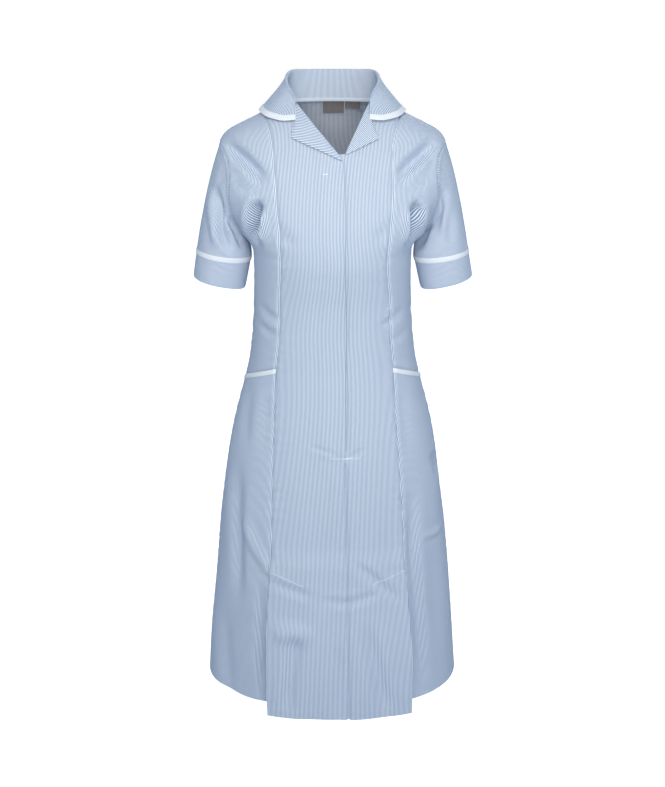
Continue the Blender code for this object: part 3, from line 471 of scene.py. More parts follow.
def fold_depth(points):
    x, y, z = points[..., 0], points[..., 1], points[..., 2]
    total = np.zeros(x.shape)
    for fold in FOLDS:
        run_x, run_z = fold.x1 - fold.x0, fold.z1 - fold.z0
        length = math.hypot(run_x, run_z)
        along = ((x - fold.x0) * run_x + (z - fold.z0) * run_z) / length**2
        off = np.abs((x - fold.x0) * run_z - (z - fold.z0) * run_x) / length
        taper = smooth(along / FOLD_TAPER) * smooth((FOLD_OVERRUN - along) / FOLD_TAPER)
        near = smooth(fold.facing * y / FOLD_BLEND)
        total += fold.depth * np.exp(-((off / fold.half_width) ** 2)) * taper * near
    return total


def path_distance(across, z, path):
    """Distance of each point from a path, and how far along the path it is, from 0 to 1."""
    path = np.array(path)
    steps = np.diff(path, axis=0)
    lengths = np.linalg.norm(steps, axis=1)
    best, along = np.full(across.shape, np.inf), np.zeros(across.shape)
    done = 0.0
    for start, step, length in zip(path[:-1], steps, lengths):
        t = ((across - start[0]) * step[0] + (z - start[1]) * step[1]) / length**2
        t = np.clip(t, 0, 1)
        off = np.hypot(across - start[0] - t * step[0], z - start[1] - t * step[1])
        closer = off < best
        best = np.where(closer, off, best)
        along = np.where(closer, (done + t * length) / lengths.sum(), along)
        done += length
    return best, along


END_TAPER = 0.32  # share of a crease's length over which it fades, at each end
CREASE_REACH = 4  # half widths, past which a crease adds nothing that shows
CREASE_BANKS = 0.7  # how strongly ridges rise beside a crease
CREASE_FALL = 0.6  # how fast a crease dies away across
CREASE_BLEND = 0.03  # a crease fades out this near where its side of the dress ends


def crease_depth(points, creases):
    """A crease is a trough with a low ridge on each side, which fades at both ends."""
    x, y, z = points[..., 0], points[..., 1], points[..., 2]
    total = np.zeros(x.shape)
    for crease in creases:
        fx, fy = crease.facing
        outward = fx * x + fy * y
        across = x if fy else y
        span = np.array(crease.path)
        reach = CREASE_REACH * crease.half_width
        low, high = span.min(0) - reach, span.max(0) + reach
        near = (outward > 0) & (across > low[0]) & (across < high[0]) & (z > low[1]) & (z < high[1])
        if not near.any():
            continue
        off, along = path_distance(across[near], z[near], crease.path)
        q = (off / crease.half_width) ** 2
        shape = (1 - CREASE_BANKS * q) * np.exp(-CREASE_FALL * q)
        taper = smooth(along / END_TAPER) * smooth((1 - along) / END_TAPER)
        total[near] += crease.depth * shape * taper * smooth(outward[near] / CREASE_BLEND)
    return total


SLACK_ABOVE = 0.0004  # unevenness of the cloth above the waist
SLACK_BELOW = 0.0008  # and what the skirt adds to it


def slack(points):
    """Slight unevenness of cloth that hangs free, growing down the skirt."""
    x, y, z = points[..., 0], points[..., 1], points[..., 2]
    round_it = np.arctan2(x, -y)
    size = SLACK_ABOVE + SLACK_BELOW * smooth((-0.35 - z) / 0.5)
    waves = np.sin(5.3 * round_it + 7.1 * z + 0.6) * np.sin(9.7 * z - 2.2 * round_it + 1.9)
    waves += 0.6 * np.sin(11.9 * round_it - 4.3 * z + 2.4) * np.sin(17.3 * z + 3.1 * round_it)
    return size * waves


def sunk(points):
    """How far below the form the cloth lies at each point."""
    return fold_depth(points) + crease_depth(points, CREASES) + slack(points)


def seam_sink(distance, z):
    """What a seam at this distance takes off the cloth's height: dip, turnings and pucker."""
    dip = SEAM_DIP * np.exp(-((distance / SEAM_DIP_WIDTH) ** 2))
    rise = TURNING_RISE * np.exp(-(((distance - TURNING_AT) / TURNING_WIDTH) ** 2))
    wave = np.sin(2 * math.pi * z / PUCKER_PITCH + 2.0 * np.sin(z * 31)) * (0.6 + 0.4 * np.sin(z * 47 + 1))
    pucker = PUCKER * wave * np.exp(-distance / PUCKER_REACH) * smooth(distance / PUCKER_START)
    return dip - rise + pucker


# ---- seams, as s at height z


def princess(z, column, s_at):
    z = np.atleast_1d(z)
    x = np.minimum(eased(PRINCESS, column, z), eased(FORM, "half_width", z))
    return np.where(z < PRINCESS_TOP_Z, s_at(x, z), side_s(z))


def princess_front(z):
    return princess(z, "front", front_s)


def princess_back(z):
    return princess(z, "back", behind_s)


ARM_MIDDLE = (SHOULDER_TIP_Z + UNDERARM_Z) / 2
ARM_HALF = (SHOULDER_TIP_Z - UNDERARM_Z) / 2


def armhole(z, reach):
    """How far the armhole's edge is from the side line at height z."""
    height = np.clip((np.atleast_1d(z) - ARM_MIDDLE) / ARM_HALF, -1, 1)
    return reach * np.sqrt(1 - height**2) * (1 + ARMHOLE_EGG * height)


def front_outer(z):
    return side_s(z) - armhole(z, ARMHOLE_FRONT)


def back_outer(z):
    return side_s(z) + armhole(z, ARMHOLE_BACK)


def roll_line(z, foot_x, foot_z, top_x):
    share = (np.atleast_1d(z) - foot_z) / (NECK_Z - foot_z)
    return front_s(foot_x + np.clip(share, 0, 1) * (top_x - foot_x), z)


def lap_spread(z):
    return np.clip((z - PLACKET_END_Z) / LAP_START - 1, 0, 1)


def right_front_edge(z):
    """The free edge of the wearer's right front: lap, centre seam below the placket, roll line."""
    z = np.atleast_1d(z)
    edge = front_s(CENTRE_SEAM_X + (LAP_EDGE_X - CENTRE_SEAM_X) * lap_spread(z), z)
    return np.where(z > V_RIGHT_Z, roll_line(z, LAP_EDGE_X, V_RIGHT_Z, -ROLL_TOP_X), edge)


def left_front_edge(z):
    z = np.atleast_1d(z)
    edge = front_s(CENTRE_SEAM_X + (UNDERLAP_X - CENTRE_SEAM_X) * lap_spread(z), z)
    return np.where(z > V_LEFT_Z, roll_line(z, LAP_EDGE_X + 0.004, V_LEFT_Z, ROLL_TOP_X), edge)


def pleat_lift(z):
    """How far the centre front panel stands off the form beside the pleats."""
    start = smooth((PLEAT_TOP_Z + PLEAT_EASE - z) / PLEAT_EASE) * PLEAT_LIFT_TOP
    return start + smooth((PLEAT_TOP_Z - z) / (PLEAT_TOP_Z - HEM_Z)) * (
        PLEAT_LIFT_HEM - PLEAT_LIFT_TOP
    )


def lap_ramp(s):
    return smooth((s - LAP_RAMP[0]) / (LAP_RAMP[1] - LAP_RAMP[0]))


LAP_SETTLES = 0.020  # height over which the lap comes down on to the lapels


def lap_lift(z):
    """How far the right front rides over the left, from the end of the placket to the lapels."""
    start = np.clip((z - PLACKET_END_Z) / LAP_START, 0, 1)
    return (CLOTH + LAYER) * start * (1 - smooth((z - V_LEFT_Z) / LAP_SETTLES))


# ---- making cloth


def collection(name):
    made = bpy.data.collections.new(name)
    bpy.context.scene.collection.children.link(made)
    return made


DRESS = collection("dress")
STUDIO = collection("studio")

Cloth = namedtuple("Cloth", "outer inner uv")


def grid_normals(grid, ring=False):
    if ring:
        along = np.roll(grid, -1, axis=1) - np.roll(grid, 1, axis=1)
    else:
        along = np.gradient(grid, axis=1)
    normals = np.cross(along, np.gradient(grid, axis=0))
    size = np.linalg.norm(normals, axis=2, keepdims=True)
    return normals / np.maximum(size, 1e-12)


def layer(grid, uv, ring=False, thickness=SHELL):
    """A cloth layer whose right side is grid. thickness may differ from point to point."""
    thickness = np.broadcast_to(thickness, grid.shape[:2])[..., None]
    return Cloth(grid, grid - grid_normals(grid, ring) * thickness, uv)


def reversed_columns(made):
    return Cloth(made.outer[:, ::-1], made.inner[:, ::-1], made.uv[:, ::-1])


def shell(name, made, material, ring=False):
    """A cloth layer as one closed mesh, with its flat pattern as its UV map, in metres."""
    rows, columns = made.outer.shape[:2]
    inside = rows * columns
    spans = columns if ring else columns - 1
    r, c = np.meshgrid(np.arange(rows - 1), np.arange(spans), indexing="ij")
    r, c = r.ravel(), c.ravel()

    def at(r, c):
        return r * columns + c % columns

    width = made.uv.shape[1]
    outer = np.stack([at(r, c), at(r, c + 1), at(r + 1, c + 1), at(r + 1, c)], axis=1)
    first = r * width + c
    outer_uv = np.stack([first, first + 1, first + width + 1, first + width], axis=1)
    rim = [((0, k + 1), (0, k)) for k in range(spans)]
    rim += [((rows - 1, k), (rows - 1, k + 1)) for k in range(spans)]
    if not ring:
        rim += [((k, 0), (k + 1, 0)) for k in range(rows - 1)]
        rim += [((k + 1, columns - 1), (k, columns - 1)) for k in range(rows - 1)]
    rim = np.array(rim)
    a, b = at(rim[:, 0, 0], rim[:, 0, 1]), at(rim[:, 1, 0], rim[:, 1, 1])
    edge = np.stack([a, b, inside + b, inside + a], axis=1)
    a_uv, b_uv = (rim[:, k, 0] * width + rim[:, k, 1] for k in (0, 1))
    edge_uv = np.stack([a_uv, b_uv, b_uv, a_uv], axis=1)
    faces = np.concatenate([outer, inside + outer[:, ::-1], edge])
    face_uv = np.concatenate([outer_uv, outer_uv[:, ::-1], edge_uv])

    points = np.concatenate([made.outer.reshape(-1, 3), made.inner.reshape(-1, 3)])
    return mesh_piece(name, points, faces, made.uv.reshape(-1, 2)[face_uv.ravel()], material)


def mesh_piece(name, points, faces, uv, material):
    mesh = bpy.data.meshes.new(name)
    mesh.vertices.add(len(points))
    mesh.vertices.foreach_set("co", np.asarray(points, np.float32).ravel())
    mesh.loops.add(faces.size)
    mesh.loops.foreach_set("vertex_index", faces.astype(np.int32).ravel())
    mesh.polygons.add(len(faces))
    mesh.polygons.foreach_set("loop_start", np.arange(len(faces), dtype=np.int32) * faces.shape[1])
    mesh.update(calc_edges=True)
    if uv is not None:
        mesh.uv_layers.new(name="pattern").data.foreach_set("uv", np.asarray(uv, np.float32).ravel())
    mesh.materials.append(material)
    mesh.shade_smooth()
    mesh.set_sharp_from_angle(angle=math.radians(50))
    piece = bpy.data.objects.new(name, mesh)
    DRESS.objects.link(piece)
    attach(piece, "root")
    return piece


def replaced(name, made, material, ring=False):
    """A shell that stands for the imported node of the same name."""
    piece = shell(name + "_cloth", made, material, ring)
    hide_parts(name)


def body_rows(low, high, *corners):
    """The heights at which every body panel has its rows, so that neighbours meet corner to corner."""
    count = round((UNDERARM_Z - SIDE_HEM_Z) / CELL)
    below = np.linspace(SIDE_HEM_Z, UNDERARM_Z, count, endpoint=False)
    beside_arm = ARM_MIDDLE - ARM_HALF * np.cos(np.linspace(0, math.pi, ARMHOLE_ROWS + 1)[:-1])
    shoulder = np.linspace(SHOULDER_TIP_Z, SIDE_TOP_Z, 15)
    neck = np.linspace(PRINCESS_TOP_Z, NECK_Z, 6)
    z = np.concatenate([below, beside_arm, shoulder, neck, corners])
    z = np.unique(np.round(z, 7))
    return z[(z > low - 1e-6) & (z < high + 1e-6)]


EDGE_STEPS = (0.0010, 0.0022)  # extra columns beside a seam, where the cloth dips


def shares(width):
    """Columns across a panel: even ones, with closer ones beside its two edges."""
    even = np.linspace(0, 1, round(width / CELL) + 1)
    close = np.array(EDGE_STEPS) / width
    return np.unique(np.concatenate([even, close, 1 - close]))


def spread(left, right, width):
    """s of a panel's points: a row for each pair of edges, with the columns of a panel of width."""
    return left[:, None] + (right - left)[:, None] * shares(width)


# The usual widths of the panels, which set their columns and the side front's grain
FRONT_RIGHT_WIDTH = 0.125
FRONT_LEFT_WIDTH = 0.115
SIDE_FRONT_WIDTH = 0.085
POCKET_WIDTH = 0.115
SIDE_BACK_WIDTH = 0.115
BACK_WIDTH = 0.19

Edges = namedtuple("Edges", "left right")
SEAMED = Edges(True, True)


def panel(s, z, lift=0.0, side=1, seams=SEAMED, seam_top=None, thickness=SHELL, grain=None):
    """A cloth layer lift above the folded form, cut between the first and last column of s.

    side -1 gives the piece of the wearer's right side. grain is the s that the stripes follow.
    """
    z = np.broadcast_to(z, s.shape)
    points, normals = place(side * s, z)
    height = np.broadcast_to(lift, s.shape) - sunk(points)
    if seams.left:
        height = height - seam_sink(s - s[:, :1], z)
    if seams.right:
        height = height - seam_sink(s[:, -1:] - s, z)
    if seam_top is not None:
        height = height - seam_sink(np.abs(seam_top - z), side * s)
    outer = points + normals * height[..., None]
    inner = outer - normals * np.broadcast_to(thickness, s.shape)[..., None]
    if grain is None:
        grain = (s[:, :1] + s[:, -1:]) / 2
    uv = np.stack([s - grain, z], axis=2)
    made = Cloth(outer, inner, uv)
    return made if side > 0 else reversed_columns(made)


def hem_thickness(z, hem):
    """The turned-up hem is a second layer inside the first."""
    return SHELL + HEM_FOLD * smooth((hem + HEM_TURN - z) / 0.002)


def raised_hem(z, s):
    """Heights of a panel whose hem rises towards the side seams."""
    z = np.repeat(z[:, None], s.shape[1], axis=1)
    from_side = 1 - np.abs(np.abs(s) - side_s(z[:, 0])[:, None]) / RISE_SPAN
    return z + SIDE_HEM_RISE * smooth(from_side) * smooth((SIDE_HEM_Z + RISE_REACH - z) / RISE_REACH)


# ---- fronts and pleats


def front_rows(*corners):
    low = np.linspace(HEM_Z, SIDE_HEM_Z, 4)[:-1]
    near = [PLACKET_END_Z + LAP_START, PLACKET_END_Z + 2 * LAP_START]
    return np.concatenate([low, body_rows(SIDE_HEM_Z, NECK_Z, *near, *corners)])


def below_pleats(s_from_edge, z):
    """Undoes the seam's dip where the panel's edge is free below the pleat's top."""
    return seam_sink(s_from_edge, z) * smooth((PLEAT_TOP_Z - z) / SEAM_START)


SEAM_START = 0.010  # height over which a seam begins or ends
CENTRE_SEAM_SHARE = 0.5
CENTRE_SEAM_DIP = 0.0024


def centre_seam(distance, z):
    """The centre front seam below the zip: pressed flatter than the others, with a sharper groove."""
    groove = CENTRE_SEAM_DIP * np.exp(-((distance / SEAM_DIP_WIDTH) ** 2))
    sink = groove + CENTRE_SEAM_SHARE * seam_sink(distance, z)
    return sink * smooth((PLACKET_END_Z - z) / SEAM_START)


LAP_EDGE_WIDTH = 0.006
LAP_EDGE_START = 0.05  # height over which the lap's edge comes free above the zip's end
LAP_EDGE_STOP = 0.02  # and over which it settles into the lapel
LAP_DIP_WIDTH = 0.004
LAP_DIP_START = 0.03
LAP_DIP_OFF = 0.001  # the dip runs this far outside the lap's edge


def right_front():
    z = front_rows(V_RIGHT_Z)
    s = spread(-princess_front(z), right_front_edge(z), FRONT_RIGHT_WIDTH)
    z = z[:, None]
    lift = pleat_lift(z) + lap_lift(z) * lap_ramp(s) + below_pleats(s - s[:, :1], z)
    free = smooth((z - PLACKET_END_Z) / LAP_EDGE_START) * smooth((V_RIGHT_Z - z) / LAP_EDGE_STOP)
    lift = lift + LAP_EDGE_RISE * free * np.exp(-(((s[:, -1:] - s) / LAP_EDGE_WIDTH) ** 2))
    lift = lift - centre_seam(s[:, -1:] - s, z)
    return panel(s, z, lift, seams=Edges(True, False), thickness=hem_thickness(z, HEM_Z), grain=0.0)


def left_front():
    z = front_rows(V_LEFT_Z)
    s = spread(left_front_edge(z), princess_front(z), FRONT_LEFT_WIDTH)
    z = z[:, None]
    lift = pleat_lift(z) + below_pleats(s[:, -1:] - s, z)
    beside = s - front_s(LAP_EDGE_X + LAP_DIP_OFF, z[:, 0])[:, None]
    above_zip = smooth((z - PLACKET_END_Z) / LAP_DIP_START)
    lift = lift - LAP_EDGE_DIP * above_zip * np.exp(-((beside / LAP_DIP_WIDTH) ** 2))
    lift = lift - centre_seam(s - s[:, :1], z)
    return panel(s, z, lift, seams=Edges(False, True), thickness=hem_thickness(z, HEM_Z), grain=0.0)


PLEAT_COLUMNS = 15  # from the edge to the inner fold, and as many back
PLEAT_ROWS = 70
PLEAT_GAP = 0.0008  # between the pleat and the seam it hangs from
PLEAT_UP = 0.002  # the pleat's hem is this much above the side panels'
PLEAT_AT_FOLD = 0.05  # share of the panel's lift that is left at the inner fold
PLEAT_CLOSING = 0.006  # width over which the pleat rises to the panel's edge
PLEAT_TUCK = 1.6  # how far behind the panel it starts, in shells


def pleat(side):
    """The folded cloth behind one edge of the centre panel: in to the fold, and out again."""
    share = np.linspace(0, 1, PLEAT_COLUMNS)
    share = np.concatenate([share, share[::-1]])
    z_top = PLEAT_TOP_Z - PLEAT_SLANT * share
    rows = np.linspace(0, 1, PLEAT_ROWS)[:, None]
    z = SIDE_HEM_Z + PLEAT_UP + rows * (z_top - SIDE_HEM_Z - PLEAT_UP)
    edge = np.stack([princess_front(z[:, c]) for c in range(z.shape[1])], axis=1)
    s = edge - PLEAT_GAP - (PLEAT_DEPTH - PLEAT_GAP) * share
    under_panel = pleat_lift(z) - 2 * CLOTH - 2 * LAYER
    at_fold = LAYER + PLEAT_AT_FOLD * under_panel
    upper = under_panel + (at_fold - under_panel) * share
    from_edge = share * PLEAT_DEPTH
    closing = np.exp(-((from_edge / PLEAT_CLOSING) ** 2))
    upper = upper + (pleat_lift(z) - PLEAT_TUCK * SHELL - upper) * closing
    returning = np.arange(len(share)) >= PLEAT_COLUMNS
    lift = np.where(returning, -SEAM_DIP * np.exp(-((from_edge / SEAM_DIP_WIDTH) ** 2)), upper)
    points, normals = place(side * s, z)
    outer = points + normals * (lift - sunk(points))[..., None]
    turned = np.where(returning, 1.0, -1.0)[None, :, None]
    inner = outer - normals * SHELL * turned
    flat = np.where(returning, 2 * PLEAT_DEPTH - PLEAT_DEPTH * share, PLEAT_DEPTH * share)
    uv = np.stack([np.broadcast_to(flat, z.shape), z], axis=2)
    made = Cloth(outer, inner, uv)
    return made if side > 0 else reversed_columns(made)


# ---- side fronts and pockets


def mouth_z(share):
    return MOUTH_FRONT_Z + (MOUTH_SIDE_Z - MOUTH_FRONT_Z) * share


def slanted(z, share, left_of, right_of):
    """s for each point, where a row's heights differ from column to column."""
    s = np.empty(z.shape)
    for c in range(z.shape[1]):
        left, right = left_of(z[:, c]), right_of(z[:, c])
        s[:, c] = left + (right - left) * share[c]
    return s


def side_front(side):
    """Upper side front, which runs on down behind the pocket's mouth as its back."""
    share = shares(SIDE_FRONT_WIDTH)
    fixed = body_rows(ABOVE_MOUTH_Z, SIDE_TOP_Z)
    from_mouth = np.concatenate([np.linspace(-POCKET_DEPTH, -0.008, 24), [-0.005, -0.002, 0.0, 0.002]])
    low = mouth_z(share) + from_mouth[:, None]
    blend = np.linspace(0, 1, 8)[1:-1, None]
    between = low[-1] + (fixed[0] - low[-1]) * blend
    z = np.vstack([low, between, np.repeat(fixed[:, None], len(share), axis=1)])
    s = slanted(z, share, princess_front, front_outer)
    behind = smooth((mouth_z(share) + 0.006 - z) / 0.010)
    edge = princess_front(z[:, 0])
    grain = (edge + np.minimum(side_s(z[:, 0]), edge + SIDE_FRONT_WIDTH)) / 2
    return panel(s, z, -POCKET_SINK * behind, side, grain=grain[:, None])


def pocket(side):
    """Lower side front, the pocket's outer layer, from the binding on its mouth to the hem."""
    share = shares(POCKET_WIDTH)
    fixed = body_rows(SIDE_HEM_Z, MOUTH_SIDE_Z - 0.014)
    top = mouth_z(share) - TRIM / 2
    blend = np.linspace(0, 1, 9)[1:, None]
    z = np.repeat(fixed[:, None], len(share), axis=1)
    z = np.vstack([z, z[-1] + (top - z[-1]) * blend])
    s = slanted(z, share, princess_front, front_outer)
    low = len(fixed)
    z[:low] = raised_hem(fixed, s[:low])
    return panel(s, z, 0.0, side, thickness=hem_thickness(z, SIDE_HEM_Z))


BINDING_RISE = 0.0011
BINDING_BULGE = 0.0005
BINDING_THICKNESS = 0.0016
ACROSS_BINDING = np.array([0.0, 0.04, 0.12, 0.3, 0.5, 0.7, 0.88, 0.96, 1.0])


def binding_profile(u):
    """Height of a folded binding across its width, u from 0 to 1, rounded over at both edges."""
    return BINDING_RISE + BINDING_BULGE * (1 - np.abs(2 * u - 1) ** 6)


def pocket_trim(side):
    share = shares(SIDE_FRONT_WIDTH)
    z = mouth_z(share) - TRIM + TRIM * ACROSS_BINDING[:, None]
    s = slanted(z, share, princess_front, front_outer)
    lift = binding_profile(ACROSS_BINDING)[:, None]
    made = panel(s, z, lift, side, thickness=BINDING_THICKNESS)
    return made._replace(uv=made.uv + np.array([0.0, -MOUTH_FRONT_Z]))


# ---- back


def side_back(side):
    z = body_rows(SIDE_HEM_Z, SIDE_TOP_Z)
    s = spread(back_outer(z), princess_back(z), SIDE_BACK_WIDTH)
    z = raised_hem(z, s)
    return panel(s, z, 0.0, side, thickness=hem_thickness(z, SIDE_HEM_Z))


def centre_back():
    z = body_rows(SIDE_HEM_Z, NECK_Z)
    left = princess_back(z)
    s = spread(left, 2 * back_s(z) - left, BACK_WIDTH)
    z = z[:, None]
    return panel(s, z, 0.0, thickness=hem_thickness(z, SIDE_HEM_Z), seam_top=NECK_Z)


# ---- sleeves

SLEEVE_TURNS = -np.linspace(0, 2 * math.pi, 2 * ARMHOLE_ROWS, endpoint=False)
SLEEVE_RADIUS = 0.056
SLEEVE_LENGTH = 0.17
SLEEVE_PULL = 0.55  # how long the sleeve keeps the direction in which it leaves the armhole
CAP_RISE = 0.0012  # the sleeve's head stands up a little beside its seam


def sleeve_ring(ring, turn):
    """Points of an oval ring at angles turn: 0 is outermost, a quarter turn is in front."""
    outer = np.array([ring.outer_x, SLEEVE_FORWARD, ring.outer_z])
    inner = np.array([ring.inner_x, SLEEVE_FORWARD, ring.inner_z])
    forward = np.array([0.0, -ring.half_depth, 0.0])
    middle, half = (outer + inner) / 2, (outer - inner) / 2
    return middle + np.cos(turn)[:, None] * half + np.sin(turn)[:, None] * forward


DOWN_AND_OUT = np.array([0.45, 0.0, -0.89])  # the way the sleeve leaves the underarm


def armhole_ring(turn, side, outwards=0.0, sink=True):
    """The armhole's edge, and the way the sleeve leaves it, both with +X outward.

    outwards is how far from the edge the ring lies, on the body.
    """
    z = ARM_MIDDLE + (ARM_HALF + outwards) * np.cos(turn)
    reach = np.where(np.sin(turn) > 0, ARMHOLE_FRONT, ARMHOLE_BACK) + outwards
    s = side_s(z) - reach * np.sin(turn) * (1 + ARMHOLE_EGG * np.cos(turn))
    points, normals = place(side * s, z)
    depth = sunk(points) + (SEAM_DIP if sink else 0.0)
    points = points - normals * depth[:, None]
    points, normals = points * [side, 1, 1], normals * [side, 1, 1]
    around = np.roll(points, -1, axis=0) - np.roll(points, 1, axis=0)
    away = unit(np.cross(around, normals))
    low = smooth((-np.cos(turn) - 0.1) / 0.8)[:, None]
    return points, unit(away * (1 - low) + DOWN_AND_OUT * low), normals


SLEEVE_ROWS = 46


def sleeve(side):
    start, away, _ = armhole_ring(SLEEVE_TURNS, side)
    end = sleeve_ring(SLEEVE_END, SLEEVE_TURNS)
    along = unit(sleeve_ring(CUFF_END, SLEEVE_TURNS) - end)
    reach = np.linalg.norm(end - start, axis=1, keepdims=True)
    share = np.linspace(1, 0, SLEEVE_ROWS)
    w = share[:, None, None]
    grid = (
        start * (1 + 2 * w) * (1 - w) ** 2
        + end * w * w * (3 - 2 * w)
        + away * reach * SLEEVE_PULL * w * (1 - w) ** 2
        - along * reach * w * w * (1 - w)
    )
    grid = grid if side > 0 else grid[:, ::-1] * [-1, 1, 1]
    depth = crease_depth(grid, SLEEVE_CREASES)
    from_top = share[:, None] * SLEEVE_LENGTH
    fade = smooth(from_top / 0.020) * smooth((SLEEVE_LENGTH - from_top) / 0.012)
    cap = CAP_RISE * np.exp(-(((from_top - 0.006) / 0.006) ** 2))
    depth = depth * fade - cap + 0.5 * slack(grid) * fade
    grid = grid - grid_normals(grid, ring=True) * depth[..., None]
    turn = np.linspace(0, 2 * math.pi, grid.shape[1] + 1)
    u = np.broadcast_to(turn * SLEEVE_RADIUS, (SLEEVE_ROWS, len(turn)))
    v = np.broadcast_to(-from_top, (SLEEVE_ROWS, len(turn)))
    return layer(grid, np.stack([u, v], axis=2), ring=True)


CUFF_WAVE = 0.0009
CUFF_RIPPLE = 0.0006
CUFF_THICKNESS = 0.0013  # the turned-up cuff is more than one layer
CUFF_HEM_TUCK = 0.0006
CUFF_TRIM_SUNK = 0.0006


def cuff_grid(side, shares_down, swell):
    """Rings of the sleeve's end at shares of the way from SLEEVE_END to CUFF_END, lowest first."""
    upper, lower = sleeve_ring(SLEEVE_END, SLEEVE_TURNS), sleeve_ring(CUFF_END, SLEEVE_TURNS)
    grid = []
    for share, out_by in zip(shares_down, swell):
        ring = upper + (lower - upper) * share
        wave = CUFF_WAVE * share * np.sin(3 * SLEEVE_TURNS + 0.8 * side)
        wave = wave + CUFF_RIPPLE * share * np.sin(5 * SLEEVE_TURNS + 2.1)
        grid.append(ring + unit(ring - ring.mean(0)) * (out_by + wave[:, None]))
    grid = np.array(grid)
    return grid if side > 0 else grid[:, ::-1] * [-1, 1, 1]


def ring_uv(shares_down, columns):
    turn = np.linspace(0, 2 * math.pi, columns + 1) * SLEEVE_RADIUS
    u, v = np.meshgrid(turn, -np.asarray(shares_down) * CUFF_LENGTH)
    return np.stack([u, v], axis=2)


def cuff_trim(side):
    across = ACROSS_BINDING[::-1]
    down = across * TRIM / CUFF_LENGTH
    grid = cuff_grid(side, down, binding_profile(across) - CUFF_TRIM_SUNK)
    return layer(grid, ring_uv(down, grid.shape[1]), ring=True, thickness=BINDING_THICKNESS)


def cuff(side):
    down = np.linspace(1, 0.4 * TRIM / CUFF_LENGTH, 15)
    hem = CUFF_HEM_TUCK * np.exp(-(((1 - down) * CUFF_LENGTH / 0.003) ** 2))
    grid = cuff_grid(side, down, -hem)
    return layer(grid, ring_uv(down, grid.shape[1]), ring=True, thickness=CUFF_THICKNESS)


# ---- collar and lapels

CollarStation = namedtuple("CollarStation", "turn roll edge")
COLLAR = [
    CollarStation(0, (0.0, 0.0700, 0.0445), (0.0, 0.086, -0.018)),
    CollarStation(25, (0.038, 0.0665, 0.0445), (0.053, 0.081, -0.019)),
    CollarStation(50, (0.0665, 0.045, 0.0445), (0.096, 0.055, -0.020)),
    CollarStation(78, (0.0735, 0.008, 0.037), (0.1175, 0.011, -0.0165)),
    CollarStation(107, (0.0710, -0.016, 0.027), (0.1090, -0.038, -0.0215)),
    CollarStation(122, (0.0650, -0.033, 0.018), (0.0830, -0.062, -0.0270)),
    CollarStation(135, (0.0590, -0.046, 0.008), (0.0575, -0.070, -0.0250)),
]
ROLL_RADIUS = 0.0026
COLLAR_CLEARANCE = 0.0040
COLLAR_COLUMNS = 133
FALL_POINTS = 18
FALL_COLUMNS = 14
COLLAR_WAVE = 0.0010
COLLAR_TRIM_SUNK = 0.0004
COLLAR_TRIM_THICKNESS = 0.0018


def curve_through(points, count):
    """count points along a smooth curve through points."""
    points = np.array(points, float)
    ends = np.vstack([2 * points[0] - points[1], points, 2 * points[-1] - points[-2]])
    at = np.linspace(0, len(points) - 1, count)
    i = np.minimum(at.astype(int), len(points) - 2)
    t = (at - i)[:, None]
    a, b, c, d = (ends[i + k] for k in range(4))
    return 0.5 * (
        2 * b + (c - a) * t + (2 * a - 5 * b + 4 * c - d) * t**2 + (3 * b - a - 3 * c + d) * t**3
    )


def collar_lines(count):
    """Neck, roll and outer edge of the whole collar, from the wearer's left front to the right."""
    turn = np.radians([station.turn for station in COLLAR])
    z = np.full(len(turn), NECK_Z)
    y = -np.where(np.cos(turn) < 0, eased(FORM, "front", z), -eased(FORM, "back", z))
    neck = np.stack([eased(FORM, "half_width", z) * np.sin(turn), y * np.abs(np.cos(turn)), z], 1)
    lines = []
    for half in (neck, [station.roll for station in COLLAR], [station.edge for station in COLLAR]):
        half = [np.array(p) for p in half]
        other = [p * np.array([-1.0, 1.0, 1.0]) for p in half[1:]]
        lines.append(curve_through(half[::-1] + other, count))
    return lines


def collar_profile(neck, roll, edge):
    """One line across the collar: up the stand, over the roll, down the fall to the edge."""
    up = roll - neck
    up /= np.linalg.norm(up)
    out = edge - roll
    out -= up * np.dot(out, up)
    out /= np.linalg.norm(out)
    middle = roll - up * ROLL_RADIUS
    arc = [
        middle + ROLL_RADIUS * (math.sin(a) * up - math.cos(a) * out)
        for a in np.linspace(0, math.pi, 9)
    ]
    stand = [neck + (arc[0] - neck) * t for t in np.linspace(0, 1, 12)[:-1]]
    reach = np.linalg.norm(edge - arc[-1])
    lean = (edge - arc[-1]) / reach
    fall = []
    for t in np.linspace(0, 1, FALL_POINTS + 1)[1:]:
        fall.append(
            arc[-1] * (1 + 2 * t) * (1 - t) ** 2
            + edge * t * t * (3 - 2 * t)
            - up * reach * 0.35 * t * (1 - t) ** 2
            - lean * reach * 0.9 * t * t * (1 - t)
        )
    return np.array(stand + arc), np.array(fall)


